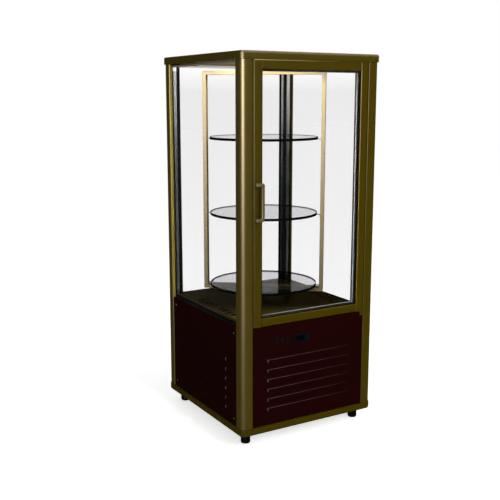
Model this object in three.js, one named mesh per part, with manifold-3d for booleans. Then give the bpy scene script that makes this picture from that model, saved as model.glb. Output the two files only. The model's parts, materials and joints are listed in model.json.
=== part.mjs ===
// Revolving refrigerated display cabinet: a glazed tower on a louvred machine compartment, with a
// hinged glass door and a hanging frame of three round glass shelves that turns inside.
// Millimetres, +Z up, floor at z = 0, door towards -Y, hinge side towards +X.
import * as THREE from "three";
import { mergeVertices } from "three/addons/utils/BufferGeometryUtils.js";
import Module from "manifold-3d";

// Whole cabinet
const bodyWidth = 650;
const bodyDepth = 680;
const footHeight = 50;
const baseHeight = 30;
const serviceHeight = 420; // machine compartment, from the base to the display level
const displayHeight = 1039; // display level to the underside of the cap
const capHeight = 31;
const seatGap = 0.3; // between pieces that touch
const cutOverrun = 5; // how far a cutting tool runs past what it cuts
const weldTolerance = 1e-3;

// Corner posts
const postFace = 50;
const postCornerRadius = 20;
const lipThickness = 16;
const lipEdgeRadius = 4;
const postWall = 3;
const doorPocketDepth = 46; // closed side of the front posts beside the door

// Glazing
const paneThickness = 4;
const paneSpacing = 15;
const spacerSetback = 3; // from the edge of the glass
const spacerTopSight = 12; // width of the wall spacers along the display level and the cap

// Base and cap
const baseOverhang = 3;
const baseEdgeRadius = 8;
const baseRim = 15;
const capOverhang = 4;
const capCornerRadius = 18;
const capEdgeRadius = 4;
const trayThickness = 3;
const footInsetX = 50; // foot centres from the faces of the posts
const footInsetY = 60;
const footBossMargin = 12;

// Feet
const footRadius = 20;
const footRollRadius = 6; // round lower edge of the foot
const footRimHeight = 30;
const footShoulderHeight = 37;
const footNeckRadius = 9;
const studRadius = 5;
const studLength = 20;
const studBoreDepth = 23;

// Louvred panels
const panelRecess = 4;
const panelSheet = 1.5;
const panelReturn = 15;
const panelSideGap = 0.5;
const doorGap = 3; // round the door
const louvreCount = 6;
const louvrePitch = 41;
const louvreLength = 416;
const louvreHeight = 17;
const louvreDepth = 6;
const louvreWall = 1.2;
const louvreEnd = 8;
const frontLouvreTop = 273.5; // centre of the top louvre above the base
const sideLouvreTop = 267;

// Insulated floor, deck and drive cover
const slabThickness = 60;
const slabSideMargin = 19; // slab stops short of the side faces
const slabRearMargin = 19; // slab stops short of the rear face
const tubWall = 28;
const tubFloor = 22;
const deckLevel = 10; // deck surface above the display level
const deckThickness = 3;
const slotLength = 30;
const slotWidth = 5;
const slotPitch = 37;
const slotCount = 9;
const slotInset = 31; // slot centres from the inner glass
const coverHalfWidth = 50;
const coverLength = 260;
const coverHeight = 29;
const coverSheet = 2;

// Door
const doorThickness = 38;
const doorTopGap = 2;
const stileWidth = 36;
const topRailWidth = 33;
const bottomRailWidth = 34;
const doorLip = 6;
const doorEdgeRadius = 4;
const doorBevel = 2;
const glassCover = 12; // how deep the door glass sits in its frame
const doorSpacerSight = 9; // width of the door spacer that shows inside its frame
const gasketInset = 10;
const gasketWidth = 12;
const gasketRunningGap = 0.5;
const surroundThickness = 15;
const pinRadius = 4;
const pinLength = 12;
const pinFromEdge = 12;
const pinFromFront = 8;
const leafLength = 24;
const leafDepth = 34;
const flangeHeight = 17;
const flangeWidth = 16;
const flangeThickness = 2.2;

// Door handle
const handleWidth = 37;
const handleLength = 150;
const handleInset = 2; // from the edge of the stile
const handleGripWidth = 13;
const handleArmHeight = 13;
const handleReach = 20;
const handleThickness = 8;
const handleFootWidth = 12;
const handleOuterRadius = 9;
const handleInnerRadius = 3;
const handleCentre = 950; // above the underside of the base

// Controls
const controlLevel = 350; // rocker centres above the base
const rockerPitch = 28;
const rockerCentreX = -135.5;
const bezelWidth = 15;
const bezelHeight = 34;
const bezelWall = 2;
const bezelReach = 2;
const bezelPlate = 3;
const bezelPlateMargin = 5;
const rockerShort = 1.5; // the rocker is shorter than its window by this at each end
const rockerDepth = 10;
const rockerTilt = 7;
const rockerCrease = 1.2;
const thermostatWidth = 72;
const thermostatHeight = 34;
const thermostatCentreX = -36;
const thermostatLevel = 347.5;
const thermostatBezel = 3;
const thermostatBody = 32;
const thermostatStep = 3;
const windowWidth = 42;
const windowHeight = 22;
const windowDepth = 0.8;
const windowOffset = -10;
const buttonWidth = 12;
const buttonHeight = 6.5;
const buttonPitch = 9.5;
const buttonOffset = 25;
const buttonReach = 0.8;
const buttonDepth = 2;
const buttonPocket = 3.4;

// Carousel
const axisY = 30;
const frameTurn = THREE.MathUtils.degToRad(-38.6);
const frameHalfLength = 266;
const frameBar = 16.5;
const frameCrossBar = 16;
const frameDepth = 40;
const frameBottom = 44; // above the deck
const frameHeight = 956;
const frameCornerRadius = 5;
const shelfRadius = 235;
const shelfThickness = 7;
const shelfChamfer = 1.5;
const shelfLevels = { shelf_bottom: 77, shelf_middle: 394, shelf_top: 721 }; // tops above the deck
const tongueReach = 9; // under the rim of a shelf
const tongueWidth = 12;
const tongueThickness = 2.5;
const tongueHeel = 12; // height of its heel against the frame
const pivotRadius = 6;
const pivotDepth = 8;
const ceilingThickness = 10;
const flangeRadius = 40;
const flangeDepth = 6;
const hubRadius = 15;
const hubDepth = 7;
const shaftRadius = 8;
const shaftSocket = 35; // how far the shaft reaches into the gear motor

// Cooling and drive
const gearPlateX = 55;
const gearPlateY = 45;
const gearPlateThickness = 4;
const gearboxX = 45;
const gearboxY = 35;
const gearboxHeight = 46;
const driveMotorRadius = 32;
const driveMotorLength = 70;
const potRadius = 75;
const potHeight = 185;
const potDome = 30;
const potInsetX = 175; // from the faces of the posts
const potInsetY = 190;
const potFootX = 95;
const potFootY = 65;
const potFootThickness = 4;
const terminalWidth = 50;
const terminalHeight = 60;
const terminalDepth = 24;
const stubRadius = 5;
const stubLength = 40;
const condenserHalfWidth = 150;
const condenserFront = 40; // behind the faces of the posts
const condenserHeight = 250;
const condenserCore = 20;
const finReach = 22;
const finCount = 20;
const finShare = 0.22; // fin thickness as a share of the fin pitch
const bendRadius = 12;
const bendTube = 4;
const bendCount = 4;
const fanRadius = 95;
const fanHubRadius = 24;
const fanHubLength = 22;
const fanGap = 12;
const bladeCount = 5;
const bladeThickness = 2;
const bladeRootWidth = 26;
const bladeTipWidth = 58;
const bladePitch = THREE.MathUtils.degToRad(24);
const fanShaftRadius = 4;
const fanShaftLength = 18;
const fanMotorRadius = 34;
const fanMotorLength = 46;
const fanMotorGap = 6;
const bracketWidth = 56;
const bracketThickness = 4;
const bracketFoot = 44;
const evaporatorSideMargin = 86; // from the inner glass
const evaporatorRearMargin = 46;
const evaporatorDepth = 135;
const evaporatorHeight = 30;
const evaporatorFinCount = 16;
const evaporatorCore = 8;
const panThickness = 2;
const panMargin = 10;
const boreMargin = 6;
const coldFanInset = 160.7; // fan centre from the inner glass of the door side
const coldFanRadius = 62;
const coldFanHubRadius = 18;
const coldFanHubLength = 12;
const coldMotorRadius = 22;
const coldMotorHeight = 9;
const coldBladeRoot = 14;
const coldBladeTip = 34;
const coldShaftRadius = 3;
const coldShaftLength = 6;
const glandInset = 125; // from the left side
const glandLevel = 28; // above the base
const glandReach = 20;
const glandFlangeRadius = 14;
const glandFlangeLength = 7;
const glandDomeRadius = 11;
const glandBoreRadius = 5;
const glandBarrelRadius = 8;
const glandNutRadius = 13;
const glandNutLength = 5;

// Facets
const cornerSteps = 6;
const edgeSteps = 3;
const roundSides = 32;
const boreSides = 16;
const shelfSides = 48;
const hexSides = 6;
const hoodSteps = 4;
const hoodEndSteps = 2;
const domeSteps = 4;
const bendSteps = 6;

// Levels and faces worked out from the sizes above
const left = -bodyWidth / 2;
const right = bodyWidth / 2;
const front = -bodyDepth / 2;
const rear = bodyDepth / 2;
const baseTop = footHeight + baseHeight;
const displayLevel = baseTop + serviceHeight;
const capBottom = displayLevel + displayHeight;
const capTop = capBottom + capHeight;
const trayTop = footHeight + trayThickness;
const postCore = lipThickness + seatGap + 2 * paneThickness + paneSpacing;
const innerHalfWidth = right - postCore;
const innerHalfDepth = rear - postCore;
const doorHalfWidth = right - postFace - doorGap;
const doorTop = capBottom - doorTopGap;
const openHalfWidth = doorHalfWidth - stileWidth;
const openBottom = displayLevel + bottomRailWidth;
const openTop = doorTop - topRailWidth;
const surroundFront = front + doorPocketDepth + seatGap;
const surroundRear = surroundFront + surroundThickness;
const deckTop = displayLevel + deckLevel;
const deckBottom = deckTop - deckThickness;
const coverTop = deckTop + coverHeight;
const loopBottom = deckTop + frameBottom;
const loopTop = loopBottom + frameHeight;
const slabBottom = displayLevel - slabThickness;
const tubFloorTop = slabBottom + tubFloor;
const boreRadius = shaftRadius + seatGap;
const slabReach = right - slabSideMargin;
const evaporatorHalfWidth = innerHalfWidth - evaporatorSideMargin;
const evaporatorRear = innerHalfDepth - evaporatorRearMargin;
const evaporatorFront = evaporatorRear - evaporatorDepth;
const coldFanY = coldFanInset - innerHalfDepth;
const potX = left + potInsetX;
const potY = rear - potInsetY;
const glandX = left + glandInset;
const quarter = Math.PI / 2;
const xAxis = new THREE.Vector3(1, 0, 0);
const yAxis = new THREE.Vector3(0, 1, 0);
const zAxis = new THREE.Vector3(0, 0, 1);

const wasm = await Module();
wasm.setup();

// Materials
const material = (color, roughness, metalness, opacity = 1) =>
  new THREE.MeshStandardMaterial({ color, roughness, metalness, opacity, transparent: opacity < 1 });
const goldAluminium = material(0x8a7840, 0.35, 0.9);
const maroonPaint = material(0x2c0608, 0.45, 0.1);
const frameGold = material(0xc8b078, 0.3, 0.9);
const clearGlass = material(0xe8f0ee, 0.05, 0, 0.25);
const shelfGlass = material(0xb8c4c0, 0.05, 0, 0.4);
const spacerGrey = material(0x9a9aa0, 0.4, 0.6);
const blackRubber = material(0x0c0c0c, 0.8, 0);
const blackPlastic = material(0x141416, 0.5, 0);
const greyPlastic = material(0x3a4044, 0.5, 0);
const ceilingPaint = material(0x8c7648, 0.5, 0.4);
const deckSteel = material(0x8c7a4c, 0.4, 0.8);
const plainSteel = material(0xa8a8a8, 0.4, 0.9);
const blackEnamel = material(0x101012, 0.35, 0.3);
const foamGrey = material(0xc8c8c4, 0.8, 0);

// Closed solids from three.js geometry
function toSolid(geometry) {
  const open = geometry.index ? geometry.toNonIndexed() : geometry;
  const bare = new THREE.BufferGeometry().setAttribute("position", open.getAttribute("position"));
  const merged = mergeVertices(bare, weldTolerance);
  const corners = merged.index.array;
  const kept = [];
  for (let i = 0; i < corners.length; i += 3) {
    const [a, b, c] = corners.slice(i, i + 3);
    if (a !== b && b !== c && c !== a) kept.push(a, b, c);
  }
  return new wasm.Manifold(
    new wasm.Mesh({
      numProp: 3,
      vertProperties: merged.attributes.position.array,
      triVerts: new Uint32Array(kept),
    }),
  );
}

const asSolid = (shape) => (shape.isBufferGeometry ? toSolid(shape) : shape);
const join = (...shapes) => shapes.map(asSolid).reduce((whole, piece) => whole.add(piece));
const cut = (body, ...tools) =>
  tools.map(asSolid).reduce((whole, tool) => whole.subtract(tool), asSolid(body));

function part(parent, name, shape, finish) {
  const mesh = asSolid(shape).getMesh();
  const stride = mesh.numProp;
  const corners = new Float32Array(mesh.numVert * 3);
  for (let i = 0; i < mesh.numVert; i++) {
    corners.set(mesh.vertProperties.subarray(i * stride, i * stride + 3), i * 3);
  }
  const geometry = new THREE.BufferGeometry()
    .setAttribute("position", new THREE.BufferAttribute(corners, 3))
    .setIndex(new THREE.BufferAttribute(mesh.triVerts, 1));
  geometry.computeVertexNormals();
  const node = new THREE.Mesh(geometry, finish);
  node.name = name;
  parent.add(node);
  return node;
}

// Outlines and basic forms
const at = (x, y) => new THREE.Vector2(x, y);

const arc = (x, y, radius, from, to, steps = cornerSteps) =>
  Array.from({ length: steps + 1 }, (_, i) => {
    const angle = from + ((to - from) * i) / steps;
    return at(x + radius * Math.cos(angle), y + radius * Math.sin(angle));
  });

const roundedOutline = (halfX, halfY, radius, steps = cornerSteps) => [
  ...arc(halfX - radius, radius - halfY, radius, -quarter, 0, steps),
  ...arc(halfX - radius, halfY - radius, radius, 0, quarter, steps),
  ...arc(radius - halfX, halfY - radius, radius, quarter, 2 * quarter, steps),
  ...arc(radius - halfX, radius - halfY, radius, 2 * quarter, 3 * quarter, steps),
];

const rectangle = (x0, x1, y0, y1) => [at(x0, y0), at(x1, y0), at(x1, y1), at(x0, y1)];

function prism(outline, low, high, holes = []) {
  const clockwise = THREE.ShapeUtils.isClockWise(outline);
  const shape = new THREE.Shape(clockwise ? outline.toReversed() : outline);
  shape.holes = holes.map((hole) => new THREE.Path(hole));
  const geometry = new THREE.ExtrudeGeometry(shape, { depth: high - low, bevelEnabled: false });
  return geometry.translate(0, 0, low);
}

// An outline in Y and Z carried along X, and one in X and Z carried along Y.
const alongX = (outline, low, high, holes) =>
  prism(outline, low, high, holes).applyMatrix4(new THREE.Matrix4().makeBasis(yAxis, zAxis, xAxis));
const alongY = (outline, low, high, holes) =>
  prism(outline, -high, -low, holes).applyMatrix4(
    new THREE.Matrix4().makeBasis(xAxis, zAxis, yAxis.clone().negate()),
  );

const block = (x0, x1, y0, y1, z0, z1) =>
  new THREE.BoxGeometry(x1 - x0, y1 - y0, z1 - z0).translate(
    (x0 + x1) / 2,
    (y0 + y1) / 2,
    (z0 + z1) / 2,
  );

const rod = (x, y, radius, low, high, sides = roundSides) =>
  new THREE.CylinderGeometry(radius, radius, high - low, sides)
    .rotateX(quarter)
    .translate(x, y, (low + high) / 2);

const turned = (profile, sides = roundSides) =>
  new THREE.LatheGeometry(profile, sides).rotateX(quarter);

// Joins rings of points of equal count, each convex, into one skin with flat ends.
function loft(rings) {
  const count = rings[0].length;
  const corners = [];
  const face = (...points) => points.forEach((p) => corners.push(p.x, p.y, p.z));
  for (let k = 0; k + 1 < rings.length; k++) {
    for (let i = 0; i < count; i++) {
      const j = (i + 1) % count;
      face(rings[k][i], rings[k][j], rings[k + 1][i]);
      face(rings[k][j], rings[k + 1][j], rings[k + 1][i]);
    }
  }
  const end = rings[rings.length - 1];
  for (let i = 1; i + 1 < count; i++) {
    face(rings[0][0], rings[0][i + 1], rings[0][i]);
    face(end[0], end[i], end[i + 1]);
  }
  return new THREE.BufferGeometry().setAttribute(
    "position",
    new THREE.Float32BufferAttribute(corners, 3),
  );
}

// A slab with round corners in plan and a round edge at its top or its bottom.
function roundedSlab(halfX, halfY, cornerRadius, low, high, edgeRadius, roundTop) {
  const ring = (inset, z) =>
    roundedOutline(halfX - inset, halfY - inset, cornerRadius - inset).map(
      (p) => new THREE.Vector3(p.x, p.y, z),
    );
  const edge = Array.from({ length: edgeSteps + 1 }, (_, i) => {
    const angle = (quarter * i) / edgeSteps;
    const inset = edgeRadius * (1 - Math.cos(angle));
    const rise = edgeRadius * (1 - Math.sin(angle));
    return roundTop ? ring(inset, high - rise) : ring(inset, low + rise);
  });
  return loft(roundTop ? [ring(0, low), ...edge] : [...edge.reverse(), ring(0, high)]);
}

const cabinet = new THREE.Group();
cabinet.position.y = (handleReach - glandReach) / 2;

// Corner posts: a hollow core with a rounded outer corner, and lips that hold the glazing.
// The outline starts at the outer corner, with both axes pointing inwards.
function postOutline(isFront) {
  const edge = postFace - lipEdgeRadius;
  const lipEdge = arc(edge, lipEdgeRadius, lipEdgeRadius, -quarter, 0, edgeSteps);
  const pocket = isFront
    ? [at(postFace, doorPocketDepth), at(postCore, doorPocketDepth)]
    : [at(postFace, lipThickness), at(postCore, lipThickness)];
  return [
    at(postCornerRadius, 0),
    ...lipEdge,
    ...pocket,
    at(postCore, postCore),
    at(lipThickness, postCore),
    at(lipThickness, postFace),
    ...arc(lipEdgeRadius, edge, lipEdgeRadius, quarter, 2 * quarter, edgeSteps),
    ...arc(postCornerRadius, postCornerRadius, postCornerRadius, 2 * quarter, 3 * quarter),
  ];
}

function postChamber(isFront) {
  const inner = postCore - postWall;
  const pocket = isFront
    ? [
        at(postFace - postWall, postWall),
        at(postFace - postWall, doorPocketDepth - postWall),
        at(postCore + postWall, doorPocketDepth - postWall),
        at(postCore + postWall, inner),
      ]
    : [at(inner, postWall), at(inner, inner)];
  const bend = arc(
    postCornerRadius,
    postCornerRadius,
    postCornerRadius - postWall,
    2 * quarter,
    3 * quarter,
  );
  return [...pocket, at(postWall, inner), ...bend];
}

function addPosts() {
  for (const [end, sideY] of [["front", -1], ["rear", 1]]) {
    for (const [side, sideX] of [["left", -1], ["right", 1]]) {
      const place = (p) => at(sideX * (right - p.x), sideY * (rear - p.y));
      const isFront = end === "front";
      const outline = postOutline(isFront).map(place);
      const chamber = postChamber(isFront).map(place);
      const low = baseTop + seatGap;
      const high = capBottom - seatGap;
      part(cabinet, `post_${end}_${side}`, prism(outline, low, high, [chamber]), goldAluminium);
    }
  }
}

// Base tray, cap and ceiling
function addBase() {
  const halfX = right + baseOverhang;
  const halfY = rear + baseOverhang;
  const radius = postCornerRadius + baseOverhang;
  const slab = roundedSlab(halfX, halfY, radius, footHeight, baseTop, baseEdgeRadius, false);
  const trayX = right - footInsetX - footBossMargin;
  const trayY = rear - footInsetY - footBossMargin;
  const rimX = right - baseRim;
  const rimY = rear - baseRim;
  const wellLong = block(-trayX, trayX, -rimY, rimY, trayTop, baseTop + cutOverrun);
  const wellWide = block(-rimX, rimX, -trayY, trayY, trayTop, baseTop + cutOverrun);
  const bores = footPlaces().map(({ x, y }) =>
    rod(x, y, studRadius + seatGap, footHeight - cutOverrun, footHeight + studBoreDepth, boreSides),
  );
  part(cabinet, "base_frame", cut(slab, wellLong, wellWide, ...bores), goldAluminium);
}

function addCap() {
  const halfX = right + capOverhang;
  const halfY = rear + capOverhang;
  const slab = roundedSlab(halfX, halfY, capCornerRadius, capBottom, capTop, capEdgeRadius, true);
  const wellX = right - postFace;
  const wellY = rear - postFace;
  const wellTop = capTop - trayThickness;
  const well = block(-wellX, wellX, -wellY, wellY, capBottom - cutOverrun, wellTop);
  part(cabinet, "top_cap", cut(slab, well), goldAluminium);

  const low = capBottom + seatGap;
  const high = low + ceilingThickness;
  const panel = block(
    seatGap - wellX,
    wellX - seatGap,
    seatGap - wellY,
    wellY - seatGap,
    low,
    high,
  );
  const bearing = rod(0, axisY, pivotRadius + seatGap, low - cutOverrun, high + cutOverrun);
  part(cabinet, "ceiling_panel", cut(panel, bearing), ceilingPaint);
}

// Levelling feet
function footPlaces() {
  const places = [];
  for (const [end, sideY] of [["front", -1], ["rear", 1]]) {
    for (const [side, sideX] of [["left", -1], ["right", 1]]) {
      const x = sideX * (right - footInsetX);
      const y = sideY * (rear - footInsetY);
      places.push({ name: `foot_${end}_${side}`, x, y });
    }
  }
  return places;
}

function addFeet() {
  const neckTop = footHeight - seatGap;
  const profile = [
    at(0, 0),
    ...arc(footRadius - footRollRadius, footRollRadius, footRollRadius, -quarter, 0, edgeSteps),
    at(footRadius, footRimHeight),
    at(footNeckRadius, footShoulderHeight),
    at(footNeckRadius, neckTop),
    at(studRadius, neckTop),
    at(studRadius, neckTop + studLength),
    at(0, neckTop + studLength),
  ];
  for (const { name, x, y } of footPlaces()) {
    part(cabinet, name, turned(profile, boreSides), blackRubber).position.set(x, y, 0);
  }
}

// A wall of the cabinet as a group whose outer face looks along -Y before it is turned.
function wall(angle, reach) {
  const group = new THREE.Group();
  group.rotation.z = angle;
  group.position.set(Math.sin(angle) * reach, -Math.cos(angle) * reach, 0);
  cabinet.add(group);
  return group;
}

// Pressed louvre: a hood that is closed at the top and at its ends and open downwards.
function louvreHood(level) {
  const bottom = level - louvreHeight / 2;
  const hoodRing = (x, depthScale) => [
    new THREE.Vector3(x, panelSheet, bottom),
    new THREE.Vector3(x, panelSheet, bottom + louvreHeight),
    ...Array.from({ length: hoodSteps + 1 }, (_, i) => {
      const angle = (quarter * i) / hoodSteps;
      const y = -louvreDepth * depthScale * Math.sin(angle);
      return new THREE.Vector3(x, y, bottom + louvreHeight * Math.cos(angle));
    }),
  ];
  const half = louvreLength / 2;
  const nearEnd = Array.from({ length: hoodEndSteps + 1 }, (_, i) => {
    const angle = (quarter * i) / hoodEndSteps;
    return { x: louvreEnd * (1 - Math.cos(angle)) - half, scale: Math.sin(angle) };
  });
  const farEnd = nearEnd.map(({ x, scale }) => ({ x: -x, scale })).reverse();
  return loft([...nearEnd, ...farEnd].map(({ x, scale }) => hoodRing(x, scale)));
}

function louvreHollow(level) {
  const bottom = level - louvreHeight / 2;
  const depth = louvreDepth - louvreWall;
  const height = louvreHeight - louvreWall;
  const curve = Array.from({ length: hoodSteps + 1 }, (_, i) => {
    const angle = (quarter * i) / hoodSteps;
    return at(-depth * Math.sin(angle), bottom + height * Math.cos(angle));
  });
  const half = louvreLength / 2 - louvreEnd;
  const outline = [
    ...curve,
    at(-depth, bottom - cutOverrun),
    at(0, bottom - cutOverrun),
    at(0, bottom),
    at(panelSheet + cutOverrun, bottom),
    at(panelSheet + cutOverrun, bottom + height),
  ];
  return alongX(outline, -half, half);
}

// Folded sheet panel with returned edges and a column of louvres.
function louvredPanel(halfWidth, low, high, louvreTop, holes) {
  const shell = block(-halfWidth, halfWidth, 0, panelReturn, low, high);
  const hollow = block(
    panelSheet - halfWidth,
    halfWidth - panelSheet,
    panelSheet,
    panelReturn + cutOverrun,
    low + panelSheet,
    high - panelSheet,
  );
  const levels = Array.from({ length: louvreCount }, (_, k) => louvreTop - k * louvrePitch);
  return cut(
    join(cut(shell, hollow), ...levels.map(louvreHood)),
    ...levels.map(louvreHollow),
    ...holes,
  );
}

function addPanels() {
  const low = baseTop + seatGap;
  const high = displayLevel - seatGap;
  const halfX = right - postFace - panelSideGap;
  const halfY = rear - postFace - panelSideGap;
  const sideTop = baseTop + sideLouvreTop;
  const faceX = right - panelRecess;
  const faceY = rear - panelRecess;
  const back = panelSheet + cutOverrun;

  const frontHoles = rockerPlaces().map((x) => {
    const halfHole = bezelWidth / 2 + seatGap;
    const halfTall = bezelHeight / 2 + seatGap;
    const level = baseTop + controlLevel;
    return block(x - halfHole, x + halfHole, -cutOverrun, back, level - halfTall, level + halfTall);
  });
  frontHoles.push(thermostatBlock(thermostatStep - seatGap, -cutOverrun, back));
  const frontShape = louvredPanel(
    halfX,
    low,
    displayLevel - doorGap,
    baseTop + frontLouvreTop,
    frontHoles,
  );
  part(wall(0, faceY), "panel_front", frontShape, maroonPaint);

  const sideShape = louvredPanel(halfY, low, high, sideTop, []);
  part(wall(-quarter, faceX), "panel_left", sideShape, maroonPaint);
  part(wall(quarter, faceX), "panel_right", sideShape, maroonPaint);

  const glandHole = rod(0, 0, glandBarrelRadius + seatGap, -back, back, boreSides)
    .rotateX(quarter)
    .translate(-glandX, 0, baseTop + glandLevel);
  const rearShape = louvredPanel(halfX, low, high, sideTop, [glandHole]);
  part(wall(2 * quarter, faceY), "panel_rear", rearShape, maroonPaint);
}

// Double glazing of a wall: outer pane, spacer frame and inner pane between two posts.
function addGlazing(side, group, halfWidth) {
  const half = halfWidth - seatGap;
  const low = displayLevel + seatGap;
  const high = capBottom - seatGap;
  const innerFace = paneThickness + paneSpacing;
  const pane = (y) => block(-half, half, y, y + paneThickness, low, high);
  part(group, `glass_${side}_outer`, pane(0), clearGlass);
  part(group, `glass_${side}_inner`, pane(innerFace), clearGlass);

  const sight = halfWidth + postCore - postFace;
  const outline = rectangle(
    spacerSetback - half,
    half - spacerSetback,
    low + spacerSetback,
    high - spacerSetback,
  );
  const window = rectangle(-sight, sight, low + spacerTopSight, high - spacerTopSight);
  const bar = alongY(outline, paneThickness + seatGap, innerFace - seatGap, [window]);
  part(group, `spacer_${side}`, bar, spacerGrey);
}

function addWallGlazing() {
  const recess = lipThickness + seatGap;
  addGlazing("left", wall(-quarter, right - recess), innerHalfDepth);
  addGlazing("right", wall(quarter, right - recess), innerHalfDepth);
  addGlazing("rear", wall(2 * quarter, rear - recess), innerHalfWidth);
}

// Insulated floor: a foam slab under the glass whose tub holds the evaporator, under the deck.
function addFloor() {
  const frontY = surroundFront;
  const innerX = innerHalfWidth - 2 * seatGap;
  const innerY = innerHalfDepth - 2 * seatGap;
  const slab = prism(
    [
      at(-slabReach, frontY),
      at(slabReach, frontY),
      at(slabReach, innerY),
      at(innerX, innerY),
      at(innerX, rear - slabRearMargin),
      at(-innerX, rear - slabRearMargin),
      at(-innerX, innerY),
      at(-slabReach, innerY),
    ],
    slabBottom,
    displayLevel,
  );
  const deckFront = surroundRear + seatGap;
  const rim = block(-innerX, innerX, deckFront, innerY, displayLevel - cutOverrun, deckBottom - seatGap);
  const tub = block(
    tubWall - innerX,
    innerX - tubWall,
    deckFront + tubWall,
    innerY - tubWall,
    tubFloorTop,
    deckTop,
  );
  const boss = rod(0, axisY, hubRadius + boreMargin, slabBottom + seatGap, deckBottom - seatGap);
  const bore = rod(0, axisY, boreRadius, slabBottom - cutOverrun, deckTop, boreSides);
  part(cabinet, "insulated_floor", cut(join(cut(join(slab, rim), tub), boss), bore), foamGrey);

  const slotX = innerHalfWidth - slotInset;
  const slotLow = deckBottom - cutOverrun;
  const slotHigh = deckTop + cutOverrun;
  const slots = [];
  for (const side of [-1, 1]) {
    for (let k = 0; k < slotCount; k++) {
      const y = slotPitch * (k - (slotCount - 1) / 2);
      const x = side * slotX;
      const [halfX, halfY] = [slotLength / 2, slotWidth / 2];
      slots.push(block(x - halfX, x + halfX, y - halfY, y + halfY, slotLow, slotHigh));
    }
  }
  const shaftHole = rod(0, axisY, boreRadius, slotLow, slotHigh, boreSides);
  const plate = block(-innerX, innerX, deckFront, innerY, deckBottom, deckTop);
  const deck = cut(plate, ...slots, shaftHole);
  part(cabinet, "display_deck", deck, deckSteel);

  const coverLow = deckTop + seatGap;
  const coverNear = axisY - coverLength / 2;
  const coverFar = axisY + coverLength / 2;
  const shell = block(-coverHalfWidth, coverHalfWidth, coverNear, coverFar, coverLow, coverTop);
  const hollow = block(
    coverSheet - coverHalfWidth,
    coverHalfWidth - coverSheet,
    coverNear + coverSheet,
    coverFar - coverSheet,
    coverLow - cutOverrun,
    coverTop - coverSheet,
  );
  const hole = rod(0, axisY, boreRadius, coverLow - cutOverrun, coverTop + cutOverrun, boreSides);
  part(cabinet, "drive_cover", cut(shell, hollow, hole), deckSteel);
}

// Door surround: the steel frame that the door gasket meets.
function addSurround() {
  const half = innerHalfWidth - seatGap;
  const sealX = doorHalfWidth - gasketInset - gasketWidth;
  const sealLow = displayLevel + gasketInset + gasketWidth;
  const sealHigh = doorTop - gasketInset - gasketWidth;
  const outline = rectangle(-half, half, displayLevel + seatGap, capBottom - seatGap);
  const opening = rectangle(-sealX, sealX, sealLow, sealHigh);
  const frame = alongY(outline, surroundFront, surroundRear, [opening]);
  part(cabinet, "door_surround", frame, goldAluminium);
}

// Door frame section, from the outer edge inwards and from the face to the back.
function doorSection(width) {
  const grooveRear = doorLip + 2 * paneThickness + paneSpacing + 2 * seatGap;
  const grooveEnd = width - glassCover - seatGap;
  return [
    at(0, doorThickness),
    ...arc(doorEdgeRadius, doorEdgeRadius, doorEdgeRadius, 2 * quarter, 3 * quarter, edgeSteps),
    at(width - doorBevel, 0),
    at(width, doorBevel),
    at(width, doorLip),
    at(grooveEnd, doorLip),
    at(grooveEnd, grooveRear),
    at(width, grooveRear),
    at(width, doorThickness),
  ];
}

function addDoor() {
  const pinX = doorHalfWidth - pinFromEdge;
  const pinY = front + pinFromFront;
  const section = doorSection(stileWidth);
  const stile = (side) =>
    prism(
      section.map((p) => at(side * (doorHalfWidth - p.x), front + p.y)),
      displayLevel,
      doorTop,
    );
  part(cabinet, "door_stile_latch", stile(-1), goldAluminium);
  const boreDepth = pinLength + 2 * seatGap;
  const pinBore = (low, high) => rod(pinX, pinY, pinRadius + seatGap, low, high, boreSides);
  const hingeStile = cut(
    stile(1),
    pinBore(displayLevel - cutOverrun, displayLevel + boreDepth),
    pinBore(doorTop - boreDepth, doorTop + cutOverrun),
  );
  part(cabinet, "door_stile_hinge", hingeStile, goldAluminium);

  const railEnd = openHalfWidth - seatGap;
  const bottomSection = doorSection(bottomRailWidth).map((p) => at(front + p.y, displayLevel + p.x));
  const topSection = doorSection(topRailWidth).map((p) => at(front + p.y, doorTop - p.x));
  part(cabinet, "door_rail_bottom", alongX(bottomSection, -railEnd, railEnd), goldAluminium);
  part(cabinet, "door_rail_top", alongX(topSection, -railEnd, railEnd), goldAluminium);

  const glassX = openHalfWidth + glassCover;
  const glassLow = openBottom - glassCover;
  const glassHigh = openTop + glassCover;
  const outerFace = front + doorLip + seatGap;
  const innerFace = outerFace + paneThickness + paneSpacing;
  const pane = (y) => block(-glassX, glassX, y, y + paneThickness, glassLow, glassHigh);
  part(cabinet, "door_glass_outer", pane(outerFace), clearGlass);
  part(cabinet, "door_glass_inner", pane(innerFace), clearGlass);

  const sight = openHalfWidth - doorSpacerSight;
  const outline = rectangle(
    spacerSetback - glassX,
    glassX - spacerSetback,
    glassLow + spacerSetback,
    glassHigh - spacerSetback,
  );
  const windowLow = openBottom + doorSpacerSight;
  const windowHigh = openTop - doorSpacerSight;
  const window = rectangle(-sight, sight, windowLow, windowHigh);
  const spacerFront = outerFace + paneThickness + seatGap;
  const spacer = alongY(outline, spacerFront, innerFace - seatGap, [window]);
  part(cabinet, "door_spacer", spacer, spacerGrey);

  const sealX = doorHalfWidth - gasketInset;
  const sealLow = displayLevel + gasketInset;
  const sealHigh = doorTop - gasketInset;
  const seal = alongY(
    rectangle(-sealX, sealX, sealLow, sealHigh),
    front + doorThickness + seatGap,
    surroundFront - gasketRunningGap,
    [
      rectangle(
        gasketWidth - sealX,
        sealX - gasketWidth,
        sealLow + gasketWidth,
        sealHigh - gasketWidth,
      ),
    ],
  );
  part(cabinet, "door_gasket", seal, blackRubber);
}

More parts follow.
